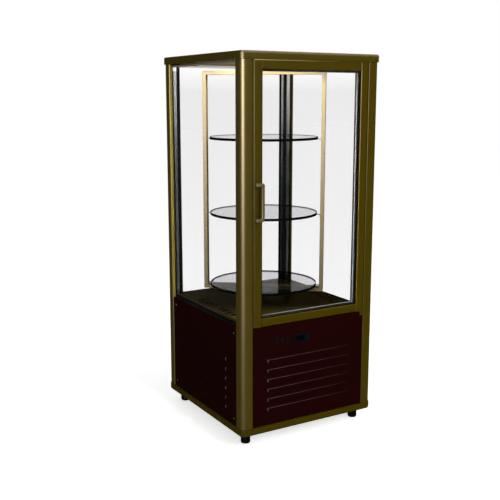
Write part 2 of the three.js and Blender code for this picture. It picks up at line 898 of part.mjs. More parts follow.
// Hinge brackets: a leaf with its pin, the lower one folded down over the panel.
function addHinges() {
  const pinX = doorHalfWidth - pinFromEdge;
  const pinY = front + pinFromFront;
  const edge = right - postFace - seatGap;
  const leaf = (low, high) => block(edge - leafLength, edge, front, front + leafDepth, low, high);

  const lowLeaf = displayLevel - doorGap + seatGap;
  const lowTop = displayLevel - seatGap;
  const panelFace = front + panelRecess - seatGap;
  const flange = block(
    edge - flangeWidth,
    edge,
    panelFace - flangeThickness,
    panelFace,
    lowLeaf - flangeHeight,
    lowTop,
  );
  const lowPin = rod(pinX, pinY, pinRadius, lowLeaf, displayLevel + pinLength, boreSides);
  const lowBracket = join(leaf(lowLeaf, lowTop), flange, lowPin);
  part(cabinet, "hinge_bracket_bottom", lowBracket, frameGold);

  const highTop = capBottom - seatGap;
  const highPin = rod(pinX, pinY, pinRadius, doorTop - pinLength, highTop, boreSides);
  const highBracket = join(leaf(doorTop + seatGap, highTop), highPin);
  part(cabinet, "hinge_bracket_top", highBracket, frameGold);
}

// Bow handle: an upright grip held by two arms whose feet stand on the latch stile.
function addHandle() {
  const x0 = handleInset - doorHalfWidth;
  const x1 = x0 + handleWidth;
  const middle = footHeight + handleCentre;
  const low = middle - handleLength / 2;
  const high = middle + handleLength / 2;
  const outerX = x1 - handleOuterRadius;
  const innerX = x1 - handleGripWidth;
  const notchX = innerX - handleInnerRadius;
  const armLow = low + handleArmHeight;
  const armHigh = high - handleArmHeight;
  const bow = [
    at(x0, low),
    ...arc(outerX, low + handleOuterRadius, handleOuterRadius, -quarter, 0),
    ...arc(outerX, high - handleOuterRadius, handleOuterRadius, 0, quarter),
    at(x0, high),
    at(x0, armHigh),
    ...arc(notchX, armHigh - handleInnerRadius, handleInnerRadius, quarter, 0, edgeSteps),
    ...arc(notchX, armLow + handleInnerRadius, handleInnerRadius, 0, -quarter, edgeSteps),
    at(x0, armLow),
  ];
  const face = front - handleReach;
  const grip = alongY(bow, face, face + handleThickness);
  const foot = (z0, z1) => block(x0, x0 + handleFootWidth, face, front - seatGap, z0, z1);
  part(cabinet, "door_handle", join(grip, foot(low, armLow), foot(armHigh, high)), frameGold);
}

// Controls on the front panel
function rockerPlaces() {
  return [-1, 0, 1].map((k) => rockerCentreX + k * rockerPitch);
}

function addSwitches() {
  const level = baseTop + controlLevel;
  const panelFace = front + panelRecess;
  const plateFront = panelFace + panelSheet + seatGap;
  const plateRear = plateFront + bezelPlate;
  const bezelFront = panelFace - bezelReach;
  const windowX = bezelWidth / 2 - bezelWall;
  const windowZ = bezelHeight / 2 - bezelWall;
  const plateX = rockerPitch + bezelWidth / 2 + bezelPlateMargin;
  const plateZ = bezelHeight / 2 + bezelPlateMargin;
  const plate = block(
    rockerCentreX - plateX,
    rockerCentreX + plateX,
    plateFront,
    plateRear,
    level - plateZ,
    level + plateZ,
  );
  const slabs = (halfX, halfZ, near, far) =>
    rockerPlaces().map((x) =>
      block(x - halfX, x + halfX, near, far, level - halfZ, level + halfZ),
    );
  const bezels = slabs(bezelWidth / 2, bezelHeight / 2, bezelFront, plateRear);
  const windows = slabs(windowX, windowZ, bezelFront - cutOverrun, plateRear + cutOverrun);
  part(cabinet, "switch_frame", cut(join(plate, ...bezels), ...windows), blackPlastic);

  // The rocker leans on its lower end. Its face is creased at the pivot.
  const halfTall = windowZ - rockerShort;
  const lean = rockerDepth / 2;
  const outline = [
    at(-lean, -halfTall),
    at(rockerCrease - lean, 0),
    at(-lean, halfTall),
    at(0, halfTall),
    at(lean, halfTall / 2),
    at(lean, -halfTall / 2),
    at(0, -halfTall),
  ];
  const halfX = windowX - seatGap;
  const rocker = alongX(outline, -halfX, halfX);
  const pivotY = bezelFront + (plateRear - bezelFront) / 2;
  rockerPlaces().forEach((x, k) => {
    const mesh = part(cabinet, `rocker_switch_${k + 1}`, rocker, blackPlastic);
    mesh.position.set(x, pivotY, level);
    mesh.rotation.x = THREE.MathUtils.degToRad(rockerTilt);
  });
}

function thermostatBlock(inset, near, far) {
  const level = baseTop + thermostatLevel;
  const halfX = thermostatWidth / 2 - inset;
  const halfZ = thermostatHeight / 2 - inset;
  const x = thermostatCentreX;
  return block(x - halfX, x + halfX, near, far, level - halfZ, level + halfZ);
}

function addThermostat() {
  const level = baseTop + thermostatLevel;
  const panelFace = front + panelRecess;
  const bezelRear = panelFace - seatGap;
  const bezelFront = bezelRear - thermostatBezel;
  const bezel = thermostatBlock(0, bezelFront, bezelRear);
  const bodyNear = bezelRear - thermostatBezel / 2;
  const body = thermostatBlock(thermostatStep, bodyNear, panelFace + thermostatBody);
  const windowX = thermostatCentreX + windowOffset;
  const lens = block(
    windowX - windowWidth / 2,
    windowX + windowWidth / 2,
    bezelFront - cutOverrun,
    bezelFront + windowDepth,
    level - windowHeight / 2,
    level + windowHeight / 2,
  );
  const buttonX = thermostatCentreX + buttonOffset;
  const places = [1, 0, -1].map((k) => level + k * buttonPitch);
  const key = (z, grow, near, far) => {
    const halfX = buttonWidth / 2 + grow;
    const halfZ = buttonHeight / 2 + grow;
    return block(buttonX - halfX, buttonX + halfX, near, far, z - halfZ, z + halfZ);
  };
  const pockets = places.map((z) =>
    key(z, seatGap, bezelFront - cutOverrun, bezelFront + buttonPocket),
  );
  part(cabinet, "thermostat_housing", cut(join(bezel, body), lens, ...pockets), greyPlastic);
  places.forEach((z, k) => {
    const button = key(z, 0, bezelFront - buttonReach, bezelFront + buttonDepth);
    part(cabinet, `thermostat_button_${k + 1}`, button, blackPlastic);
  });
}

// Carousel: a hanging frame with tongues for the shelves, on a spindle.
function addCarousel() {
  const carousel = new THREE.Group();
  carousel.position.set(0, axisY, 0);
  carousel.rotation.z = frameTurn;
  cabinet.add(carousel);

  const middle = (loopBottom + loopTop) / 2;
  const halfHeight = frameHeight / 2;
  const lift = (p) => at(p.x, p.y + middle);
  const outline = roundedOutline(frameHalfLength, halfHeight, frameCornerRadius, edgeSteps).map(lift);
  const windowX = frameHalfLength - frameBar;
  const windowZ = halfHeight - frameCrossBar;
  const window = rectangle(-windowX, windowX, -windowZ, windowZ).map(lift);
  const loop = alongY(outline, -frameDepth / 2, frameDepth / 2, [window]);
  const root = windowX + frameBar / 2;
  const tongues = Object.values(shelfLevels).flatMap((level) => {
    const top = deckTop + level - shelfThickness - seatGap;
    const angle = [
      at(shelfRadius - tongueReach, top),
      at(shelfRadius - tongueReach, top - tongueThickness),
      at(windowX - tongueThickness, top - tongueThickness),
      at(windowX - tongueThickness, top - tongueHeel),
      at(root, top - tongueHeel),
      at(root, top),
    ];
    return [-1, 1].map((side) => {
      const profile = angle.map((p) => at(side * p.x, p.y));
      return alongY(profile, -tongueWidth / 2, tongueWidth / 2);
    });
  });
  const pivotTop = capBottom + seatGap + pivotDepth;
  const pivot = rod(0, 0, pivotRadius, loopTop - frameCrossBar / 2, pivotTop, boreSides);
  part(carousel, "carousel_frame", join(loop, ...tongues, pivot), frameGold);

  const flangeTop = loopBottom - seatGap;
  const flangeLow = flangeTop - flangeDepth;
  const hubLow = flangeLow - hubDepth;
  const spindle = turned([
    at(0, slabBottom - shaftSocket),
    at(shaftRadius, slabBottom - shaftSocket),
    at(shaftRadius, hubLow),
    at(hubRadius, hubLow),
    at(hubRadius, flangeLow),
    at(flangeRadius, flangeLow),
    at(flangeRadius, flangeTop),
    at(0, flangeTop),
  ]);
  part(carousel, "carousel_spindle", spindle, plainSteel);

  const shelf = turned(
    [
      at(0, 0),
      at(shelfRadius - shelfChamfer, 0),
      at(shelfRadius, shelfChamfer),
      at(shelfRadius, shelfThickness - shelfChamfer),
      at(shelfRadius - shelfChamfer, shelfThickness),
      at(0, shelfThickness),
    ],
    shelfSides,
  );
  for (const [name, level] of Object.entries(shelfLevels)) {
    part(carousel, name, shelf, shelfGlass).position.z = deckTop + level - shelfThickness;
  }
}

function addGearMotor() {
  const top = slabBottom - seatGap;
  const plateLow = top - gearPlateThickness;
  const boxLow = plateLow - gearboxHeight;
  const plate = block(-gearPlateX, gearPlateX, axisY - gearPlateY, axisY + gearPlateY, plateLow, top);
  const box = block(-gearboxX, gearboxX, axisY - gearboxY, axisY + gearboxY, boxLow, top);
  const motor = rod(0, axisY, driveMotorRadius, boxLow - driveMotorLength, top);
  const socket = rod(0, axisY, boreRadius, slabBottom - shaftSocket - seatGap, top + cutOverrun);
  part(cabinet, "gear_motor", cut(join(plate, box, motor), socket), blackEnamel);
}

function addCompressor() {
  const low = trayTop + seatGap;
  const plateTop = low + potFootThickness;
  const shoulder = plateTop + potHeight - potDome;
  const dome = arc(potRadius - potDome, shoulder, potDome, 0, quarter, domeSteps);
  const pot = turned([at(0, low), at(potRadius, low), ...dome, at(0, plateTop + potHeight)]);
  const foot = prism(roundedOutline(potFootX, potFootY, potDome, domeSteps), low, plateTop);
  const middle = plateTop + potHeight / 2;
  const reach = potRadius + terminalDepth;
  const terminal = block(
    0,
    reach,
    -terminalWidth / 2,
    terminalWidth / 2,
    middle - terminalHeight / 2,
    middle + terminalHeight / 2,
  );
  const top = plateTop + potHeight + stubLength / 2;
  const stubs = [-1, 1].map((side) =>
    rod(0, (side * potRadius) / 2, stubRadius, middle, top, boreSides),
  );
  const shape = join(pot, foot, terminal, ...stubs);
  part(cabinet, "compressor", shape, blackEnamel).position.set(potX, potY, 0);
}

// A row of fins standing on a core plate, as an outline in plan.
function finOutline(halfWidth, coreNear, coreFar, reach, count) {
  const pitch = (2 * halfWidth) / count;
  const points = [at(halfWidth, coreFar), at(-halfWidth, coreFar)];
  for (let k = 0; k < count; k++) {
    const x = pitch * (k + (1 - finShare) / 2) - halfWidth;
    const far = x + pitch * finShare;
    points.push(at(x, coreNear), at(x, coreNear - reach), at(far, coreNear - reach), at(far, coreNear));
  }
  points.splice(2, 0, at(-halfWidth, coreNear));
  points.push(at(halfWidth, coreNear));
  return points;
}

function addCondenser() {
  const low = trayTop + seatGap;
  const near = front + condenserFront + finReach;
  const far = near + condenserCore;
  const fins = prism(
    finOutline(condenserHalfWidth, near, far, finReach, finCount),
    low,
    low + condenserHeight,
  );
  const spacing = condenserHeight / bendCount;
  const firstBend = low + spacing / 2;
  const bends = Array.from({ length: bendCount }, (_, k) => {
    const centre = new THREE.Vector3(condenserHalfWidth, (near + far) / 2, firstBend + spacing * k);
    const path = new THREE.CatmullRomCurve3(
      arc(0, 0, bendRadius, -quarter, quarter, bendSteps).map((p) =>
        new THREE.Vector3(p.x, 0, p.y).add(centre),
      ),
    );
    const section = new THREE.Shape(arc(0, 0, bendTube, 0, 4 * quarter, hexSides).slice(0, hexSides));
    return new THREE.ExtrudeGeometry(section, { steps: bendSteps, extrudePath: path });
  });
  part(cabinet, "condenser", join(fins, ...bends), plainSteel);
}

// Axial fan on the Z axis: a hub with pitched blades and its shaft, which points down.
function fanShape(radius, hub, hubLength, rootWidth, tipWidth, shaft, shaftLength, count) {
  const tipAngle = Math.asin(tipWidth / 2 / radius);
  const blade = prism(
    [
      at(hub - bladeThickness, -rootWidth / 2),
      ...arc(0, 0, radius, -tipAngle, tipAngle, domeSteps),
      at(hub - bladeThickness, rootWidth / 2),
    ],
    -bladeThickness / 2,
    bladeThickness / 2,
  ).rotateX(bladePitch);
  const blades = Array.from({ length: count }, (_, k) =>
    blade.clone().rotateZ((4 * quarter * k) / count),
  );
  const core = rod(0, 0, hub, -hubLength / 2, hubLength / 2, boreSides);
  const axle = rod(0, 0, shaft, -hubLength / 2 - shaftLength, 0, boreSides);
  return join(core, axle, ...blades);
}

function addCondenserFan() {
  const low = trayTop + seatGap;
  const fanY = front + condenserFront + finReach + condenserCore + fanGap + fanHubLength;
  const fanZ = trayTop + fanRadius + bracketFoot;
  const motorNear = fanY + fanHubLength / 2 + fanMotorGap;
  const motorFar = motorNear + fanMotorLength;

  const fan = fanShape(
    fanRadius,
    fanHubRadius,
    fanHubLength,
    bladeRootWidth,
    bladeTipWidth,
    fanShaftRadius,
    fanMotorGap + fanShaftLength,
    bladeCount,
  );
  const mesh = part(cabinet, "condenser_fan", fan, blackPlastic);
  mesh.position.set(0, fanY, fanZ);
  mesh.rotation.x = quarter;

  const can = turned(
    [at(0, 0), at(fanMotorRadius, 0), at(fanMotorRadius, fanMotorLength), at(0, fanMotorLength)],
    boreSides,
  )
    .rotateX(-quarter)
    .translate(0, motorNear, fanZ);
  const bore = rod(0, 0, fanShaftRadius + seatGap, -fanShaftLength - seatGap, cutOverrun, boreSides)
    .rotateX(quarter)
    .translate(0, motorNear, fanZ);
  const halfWide = bracketWidth / 2;
  const upright = block(-halfWide, halfWide, motorFar - bracketThickness, motorFar, low, fanZ);
  const soleFar = motorFar + bracketFoot;
  const soleTop = low + bracketThickness;
  const sole = block(-halfWide, halfWide, motorFar - bracketThickness, soleFar, low, soleTop);
  part(cabinet, "condenser_fan_motor", cut(join(can, upright, sole), bore), blackEnamel);
}

// Evaporator on its drain pan, with the motor of the cold-air fan.
function addEvaporator() {
  const low = tubFloorTop + seatGap;
  const panTop = low + panThickness;
  const core = evaporatorRear - evaporatorCore;
  const fins = prism(
    finOutline(
      evaporatorHalfWidth,
      core,
      evaporatorRear,
      core - evaporatorFront,
      evaporatorFinCount,
    ),
    low,
    low + evaporatorHeight,
  );
  const halfPan = evaporatorHalfWidth + panMargin;
  const panNear = coldFanY - coldFanRadius;
  const pan = block(-halfPan, halfPan, panNear, evaporatorRear, low, panTop);
  const collarRadius = hubRadius + boreMargin + panMargin / 2;
  const collar = rod(0, axisY, collarRadius, low - cutOverrun, panTop + cutOverrun);
  const motorTop = panTop + coldMotorHeight;
  const motor = rod(0, coldFanY, coldMotorRadius, low, motorTop, boreSides);
  const boreLow = motorTop - coldShaftLength;
  const coldBore = coldShaftRadius + seatGap;
  const bore = rod(0, coldFanY, coldBore, boreLow, motorTop + cutOverrun, boreSides);
  part(cabinet, "evaporator", cut(join(cut(pan, collar), fins, motor), bore), plainSteel);

  const fan = fanShape(
    coldFanRadius,
    coldFanHubRadius,
    coldFanHubLength,
    coldBladeRoot,
    coldBladeTip,
    coldShaftRadius,
    coldShaftLength,
    bladeCount,
  );
  const mesh = part(cabinet, "evaporator_fan", fan, blackPlastic);
  mesh.position.set(0, coldFanY, motorTop + coldFanHubLength / 2 + seatGap);
}

// Cable gland through the rear panel, with its locknut inside.
function addGland() {
  const panelFace = rear - panelRecess;
  const tip = rear + glandReach - panelFace;
  const inner = -panelSheet - seatGap;
  const profile = [
    at(glandBoreRadius, inner - glandNutLength),
    at(glandBarrelRadius, inner - glandNutLength),
    at(glandBarrelRadius, glandFlangeLength),
    at(glandDomeRadius, glandFlangeLength),
    at(glandDomeRadius, tip - glandDomeRadius + glandBoreRadius),
    at(glandBoreRadius, tip),
    at(glandBoreRadius, inner - glandNutLength),
  ];
  const barrel = turned(profile, boreSides);
  const hex = (radius, low, high) => rod(0, 0, radius, low, high, hexSides);
  const boreInner = inner - glandNutLength - cutOverrun;
  const bore = rod(0, 0, glandBoreRadius, boreInner, tip + cutOverrun, boreSides);
  const nuts = join(
    hex(glandNutRadius, inner - glandNutLength, inner),
    hex(glandFlangeRadius, seatGap, glandFlangeLength),
  );
  const gland = join(barrel, cut(nuts, bore));
  const mesh = part(cabinet, "cable_gland", gland, blackPlastic);
  mesh.position.set(glandX, panelFace, baseTop + glandLevel);
  mesh.rotation.x = -quarter;
}

addPosts();
addBase();
addCap();
addFeet();
addPanels();
addWallGlazing();
addFloor();
addSurround();
addDoor();
addHinges();
addHandle();
addSwitches();
addThermostat();
addCarousel();
addGearMotor();
addCompressor();
addCondenser();
addCondenserFan();
addEvaporator();
addGland();

export default cabinet;
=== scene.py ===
import json
import math

import bmesh
import bpy
from mathutils import Matrix, Vector

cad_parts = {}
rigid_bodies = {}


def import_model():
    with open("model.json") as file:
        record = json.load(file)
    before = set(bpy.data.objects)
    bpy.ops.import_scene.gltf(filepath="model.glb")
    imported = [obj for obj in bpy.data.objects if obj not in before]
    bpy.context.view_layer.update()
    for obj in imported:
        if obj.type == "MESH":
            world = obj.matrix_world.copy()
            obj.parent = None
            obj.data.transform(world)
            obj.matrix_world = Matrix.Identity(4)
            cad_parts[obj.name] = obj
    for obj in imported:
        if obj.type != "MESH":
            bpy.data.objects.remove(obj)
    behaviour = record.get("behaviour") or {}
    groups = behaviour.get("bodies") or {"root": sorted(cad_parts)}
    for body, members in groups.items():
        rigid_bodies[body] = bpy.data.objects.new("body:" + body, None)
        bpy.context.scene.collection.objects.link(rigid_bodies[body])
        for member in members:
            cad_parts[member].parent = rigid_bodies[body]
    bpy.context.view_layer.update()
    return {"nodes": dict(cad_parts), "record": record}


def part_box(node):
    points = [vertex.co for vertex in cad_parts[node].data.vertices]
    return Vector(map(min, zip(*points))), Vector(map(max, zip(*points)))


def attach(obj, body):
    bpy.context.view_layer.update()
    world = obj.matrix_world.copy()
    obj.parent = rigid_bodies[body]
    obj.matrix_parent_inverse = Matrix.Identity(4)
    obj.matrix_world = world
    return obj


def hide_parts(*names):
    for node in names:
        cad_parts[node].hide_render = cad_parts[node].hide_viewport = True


for leftover in list(bpy.data.objects):
    bpy.data.objects.remove(leftover)
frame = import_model()
scene = bpy.context.scene
scene.view_settings.view_transform = "Standard"

# which body carries each node of the CAD, and which finish the record gives it
bodyOf = {
    node: body
    for body, nodes in frame["record"]["behaviour"]["bodies"].items()
    for node in nodes
}
slotOf = {row["node"]: row["material_slot"] for row in frame["record"]["subparts"]}
print("frame loaded:", len(bodyOf), "nodes")


# camera, at the photograph's angle
shot = {
    "place": (-1.8563, -2.9866, 1.3963),
    "azimuth": -30.636,
    "elevation": 10.650,
    "lens": 58.26,
    "sensor": 36.0,
}


def addCamera():
    data = bpy.data.cameras.new("camera")
    data.lens = shot["lens"]
    data.sensor_width = shot["sensor"]
    camera = bpy.data.objects.new("camera", data)
    camera.location = shot["place"]
    pitch = math.radians(90 - shot["elevation"])
    camera.rotation_euler = (pitch, 0, math.radians(shot["azimuth"]))
    scene.collection.objects.link(camera)
    scene.camera = camera


addCamera()
print("camera placed")


# shader building
white = (1.0, 1.0, 1.0)
black = (0.0, 0.0, 0.0)


class Wire:
    # a socket that Python's own operators work on
    def __init__(self, graph, socket):
        self.graph = graph
        self.socket = socket

    def math(self, operation, first, second=None):
        values = {0: first} if second is None else {0: first, 1: second}
        return self.graph.node("ShaderNodeMath", {"operation": operation}, values)

    def __add__(self, other):
        return self.math("ADD", self, other)

    def __radd__(self, other):
        return self.math("ADD", other, self)

    def __sub__(self, other):
        return self.math("SUBTRACT", self, other)

    def __mul__(self, other):
        return self.math("MULTIPLY", self, other)

    def __pow__(self, other):
        return self.math("POWER", self, other)

    def __gt__(self, other):
        return self.math("GREATER_THAN", self, other)

    def __lt__(self, other):
        return self.math("LESS_THAN", self, other)

    def larger(self, other):
        return self.math("MAXIMUM", self, other)

    def wrapped(self, pitch):
        # distance from the nearest multiple of the pitch
        return self.math("PINGPONG", self, pitch / 2)


class Graph:
    def __init__(self, owner):
        owner.use_nodes = True
        self.tree = owner.node_tree

    def node(self, kind, settings=None, values=None, out=0):
        made = self.tree.nodes.new(kind)
        for name, value in (settings or {}).items():
            setattr(made, name, value)
        for name, value in (values or {}).items():
            self.feed(made.inputs[name], value)
        return Wire(self, made.outputs[out])

    def feed(self, socket, value):
        if isinstance(value, Wire):
            self.tree.links.new(value.socket, socket)
        elif socket.type == "RGBA":
            socket.default_value = (*value[:3], 1)
        else:
            socket.default_value = value


class Finish(Graph):
    # one material, read in the row frame's own metres
    def __init__(self, name, **sockets):
        self.material = bpy.data.materials.new(name)
        super().__init__(self.material)
        self.shader = self.tree.nodes["Principled BSDF"]
        self.output = self.tree.nodes["Material Output"]
        self.place = self.node("ShaderNodeTexCoord", out="Object")
        self.set(sockets)

    def set(self, sockets):
        for name, value in sockets.items():
            self.feed(self.shader.inputs[name.replace("_", " ")], value)

    def axis(self, letter):
        return self.node("ShaderNodeSeparateXYZ", {}, {0: self.place}, letter)

    def noise(self, scale, detail=2.0, stretch=(1, 1, 1), shift=0.0):
        place = self.node(
            "ShaderNodeMapping",
            {},
            {"Vector": self.place, "Scale": stretch, "Location": (shift, shift, shift)},
        )
        return self.node(
            "ShaderNodeTexNoise", {}, {"Vector": place, "Scale": scale, "Detail": detail}
        )

    def ramp(self, value, low, high):
        # value spread over 0 to 1 between low and high
        return self.node(
            "ShaderNodeMapRange", {}, {"Value": value, "From Min": low, "From Max": high}
        )

    def tone(self, factor, first, second):
        mix = {"data_type": "RGBA"}
        return self.node("ShaderNodeMix", mix, {0: factor, 6: first, 7: second}, 2)

    def bump(self, height, depth):
        normal = self.node(
            "ShaderNodeBump", {}, {"Height": height, "Distance": depth, "Strength": 1.0}
        )
        self.set({"Normal": normal})
        return normal

    def lacquer(self, share, tint, roughness, normal=None):
        # a thin even gloss over the ground, which the lamps catch
        gloss = self.tree.nodes.new("ShaderNodeBsdfPrincipled")
        self.feed(gloss.inputs["Base Color"], tint)
        self.feed(gloss.inputs["Metallic"], 1.0)
        self.feed(gloss.inputs["Roughness"], roughness)
        if normal:
            self.feed(gloss.inputs["Normal"], normal)
        ground = Wire(self, self.shader.outputs[0])
        values = {0: share, 1: ground, 2: Wire(self, gloss.outputs[0])}
        self.feed(self.output.inputs["Surface"], self.node("ShaderNodeMixShader", {}, values))


def around(middle, grain, spread):
    # a value that the grain moves either way from its middle
    return middle + (grain - 0.5) * spread


# gold anodised profiles, drawn along one axis
anodised = {
    "dark": (0.0560, 0.0380, 0.0001),
    "light": (0.0640, 0.0445, 0.0003),
    "brightDark": (0.100, 0.076, 0.034),
    "brightLight": (0.120, 0.092, 0.043),
    "gloss": 0.0030,
    "flatGloss": 0.0010,
    "capGloss": 0.0018,
    "glint": (1.0, 0.80, 0.47),
    "roughness": 0.43,
    "ground": 0.7,
    "dieLines": 1400.0,
    "dieStretch": 0.004,
    "dieDepth": 0.00002,
    "dieShare": 0.3,
    "dieSpread": 0.10,
    "drift": 5.0,
    "scuffs": 60.0,
    "scuffRange": (0.62, 0.75),
    "scuffGround": 0.2,
    "scuffGloss": 0.06,
    # painted highlight on the cap's rolled front edge
    "rim": (0.26, 0.22, 0.11),
    "rimRange": (1.5590, 1.5685),
    "rimFront": -0.3350,
}


def anodisedFinish(name, along, dark="dark", light="light", gloss="gloss"):
    finish = Finish(name, Specular_IOR_Level=0.0)
    stretch = [anodised["dieStretch"] if axis == along else 1.0 for axis in "xyz"]
    lines = finish.noise(anodised["dieLines"], 2.0, stretch)
    drift = finish.noise(anodised["drift"], 3.0)
    scuffs = finish.noise(anodised["scuffs"], 4.0, shift=3.0)
    scuffs = finish.ramp(scuffs, *anodised["scuffRange"])
    share = anodised["dieShare"]
    mixed = drift * (1 - share) + lines * share
    tone = finish.tone(mixed, anodised[dark], anodised[light])
    if gloss == "capGloss":
        # painted highlight: the rolled front edge of the cap is painted paler
        rim = finish.ramp(finish.axis("Z"), *anodised["rimRange"])
        rim = rim * (finish.axis("Y") < anodised["rimFront"])
        tone = finish.tone(rim, tone, anodised["rim"])
    ground = anodised["ground"] + scuffs * anodised["scuffGround"]
    finish.set({"Base Color": tone, "Roughness": ground})
    normal = finish.bump(lines, anodised["dieDepth"])
    roughness = around(anodised["roughness"], lines, anodised["dieSpread"])
    roughness = roughness + scuffs * anodised["scuffGloss"]
    finish.lacquer(anodised[gloss], anodised["glint"], roughness, normal)
    return finish.material


# a painted highlight along an edge, brightest near the handle, its tone falling off along x
wornEdge = {
    "bright": (0.62, 0.50, 0.22),
    "plain": (0.075, 0.056, 0.006),
    "range": (-0.20, 0.15),
    "power": 0.6,
    "rubbed": 30.0,
    "ground": 0.5,
    "rubbedGround": 0.2,
}


def paintedEdgeHighlightFinish():
    finish = Finish("wornEdge", Specular_IOR_Level=0.0)
    rubbed = finish.noise(wornEdge["rubbed"], 3.0)
    far = finish.ramp(finish.axis("X"), *wornEdge["range"]) ** wornEdge["power"]
    tone = finish.tone(far, wornEdge["bright"], wornEdge["plain"])
    ground = wornEdge["ground"] + rubbed * wornEdge["rubbedGround"]
    finish.set({"Base Color": tone, "Roughness": ground})
    finish.lacquer(anodised["flatGloss"], anodised["glint"], anodised["roughness"])
    return finish.material


# maroon powder coat of the lower panels; painted highlights on the louvre ridges fade towards
# the right, with painted highlights on their left ends and painted shade below them
powderCoat = {
    "dark": (0.0100, 0.00010, 0.00016),
    "light": (0.0135, 0.00030, 0.00040),
    "ridgeHighlightDark": (0.072, 0.032, 0.030),
    "ridgeLight": (0.100, 0.052, 0.048),
    "ridgeFar": (0.030, 0.0060, 0.0060),
    "farRange": (-0.16, 0.20),
    # painted highlight on the left end of each louvre
    "endDark": (0.20, 0.15, 0.14),
    "endLight": (0.28, 0.22, 0.21),
    # painted shade below each ridge
    "shadeDark": (0.0035, 0.00010, 0.00010),
    "shadeLight": (0.0050, 0.00010, 0.00010),
    "roughness": 0.30,
    "ground": 0.7,
    "gloss": 0.0010,
    "glint": (1.0, 0.78, 0.74),
    "peel": 420.0,
    "peelDepth": 0.00006,
    "peelSpread": 0.14,
    "drift": 4.0,
    "dust": 900.0,
    "dustRange": (0.72, 0.80),
    "dustGround": 0.2,
    "dustGloss": 0.12,
}


def powderCoatFinish(name, dark, light, far=None):
    finish = Finish(name, Specular_IOR_Level=0.0)
    peel = finish.noise(powderCoat["peel"], 2.0)
    drift = finish.noise(powderCoat["drift"], 3.0)
    dust = finish.noise(powderCoat["dust"], 1.0, shift=5.0)
    dust = finish.ramp(dust, *powderCoat["dustRange"])
    tone = finish.tone(drift, powderCoat[dark], powderCoat[light])
    # painted highlight that fades towards the right
    if far:
        right = finish.ramp(finish.axis("X"), *powderCoat["farRange"])
        tone = finish.tone(right, tone, powderCoat[far])
    ground = powderCoat["ground"] + dust * powderCoat["dustGround"]
    finish.set({"Base Color": tone, "Roughness": ground})
    normal = finish.bump(peel, powderCoat["peelDepth"])
    roughness = around(powderCoat["roughness"], peel, powderCoat["peelSpread"])
    roughness = roughness + dust * powderCoat["dustGloss"]
    finish.lacquer(powderCoat["gloss"], powderCoat["glint"], roughness, normal)
    return finish.material


# clear float glass: what passes through is tinted, what glances off is a plain gloss
floatGlass = {
    "tint": (0.979, 0.979, 0.980),
    "smear": (0.973, 0.973, 0.974),
    "wiped": (0.999, 0.999, 0.999),
    "paintedTopLightRange": (1.42, 1.52),
    "mirror": (0.80, 0.85, 0.84),
    "mirrorSmear": (0.84, 0.88, 0.87),
    "smears": 3.0,
    "smearStretch": (1, 1, 0.5),
    "smearRange": (0.45, 0.75),
    "smearSpread": 0.02,
    "facing": 0.0001,
    "edgeGain": 0.3,
    "edgePower": 9.0,
    "roughness": 0.02,
}


def paneFinish():
    finish = Finish("floatGlass")
    smear = finish.noise(floatGlass["smears"], 5.0, floatGlass["smearStretch"])
    smear = finish.ramp(smear, *floatGlass["smearRange"])
    tint = finish.tone(smear, floatGlass["tint"], floatGlass["smear"])
    # painted light: the panes let more through towards the top
    wiped = finish.ramp(finish.axis("Z"), *floatGlass["paintedTopLightRange"])
    tint = finish.tone(wiped, tint, floatGlass["wiped"])
    through = finish.node("ShaderNodeBsdfTransparent", {}, {"Color": tint})
    finish.set(
        {
            "Base Color": finish.tone(smear, floatGlass["mirror"], floatGlass["mirrorSmear"]),
            "Metallic": 1.0,
            "Roughness": floatGlass["roughness"] + smear * floatGlass["smearSpread"],
        }
    )
    facing = finish.node("ShaderNodeLayerWeight", {}, {"Blend": 0.5}, "Facing")
    share = facing ** floatGlass["edgePower"] * floatGlass["edgeGain"]
    share = share + floatGlass["facing"]
    values = {0: share, 1: through, 2: Wire(finish, finish.shader.outputs[0])}
    mixed = finish.node("ShaderNodeMixShader", {}, values)
    finish.feed(finish.output.inputs["Surface"], mixed)
    return finish.material


# toughened shelf glass, which bends and mirrors light as a thick plate does
shelfGlass = {
    "tint": (0.66, 0.65, 0.67),
    "smear": (0.62, 0.61, 0.63),
    "shade": (0.80, 0.80, 0.80),
    "smears": 5.0,
    "smearRange": (0.45, 0.75),
    "smearSpread": 0.03,
    "bend": 1.06,
    "roughness": 0.02,
}


def shelfFinish():
    finish = Finish("shelfGlass", IOR=shelfGlass["bend"], Transmission_Weight=1.0)
    smear = finish.ramp(finish.noise(shelfGlass["smears"], 4.0), *shelfGlass["smearRange"])
    finish.set(
        {
            "Base Color": finish.tone(smear, shelfGlass["tint"], shelfGlass["smear"]),
            "Roughness": shelfGlass["roughness"] + smear * shelfGlass["smearSpread"],
        }
    )
    # lamps shine through it on to what is below
    shadow = finish.node("ShaderNodeLightPath", out="Is Shadow Ray")
    clear = finish.node("ShaderNodeBsdfTransparent", {}, {"Color": shelfGlass["shade"]})
    solid = Wire(finish, finish.shader.outputs[0])
    mixed = finish.node("ShaderNodeMixShader", {}, {0: shadow, 1: solid, 2: clear})
    finish.feed(finish.output.inputs["Surface"], mixed)
    return finish.material


# the dark polished rim of a shelf, banded as thick glass is
shelfRim = {
    "dark": (0.0015, 0.0022, 0.002),
    "light": (0.004, 0.007, 0.006),
    "bands": 90.0,
    "stretch": (1, 1, 4),
    "ground": 0.5,
    "gloss": 0.0004,
    "roughness": 0.12,
    "bandSpread": 0.10,
}


def shelfRimFinish():
    finish = Finish("shelfRim", Specular_IOR_Level=0.0)
    bands = finish.noise(shelfRim["bands"], 3.0, shelfRim["stretch"])
    tone = finish.tone(bands, shelfRim["dark"], shelfRim["light"])
    finish.set({"Base Color": tone, "Roughness": shelfRim["ground"]})
    roughness = shelfRim["roughness"] + bands * shelfRim["bandSpread"]
    finish.lacquer(shelfRim["gloss"], white, roughness)
    return finish.material
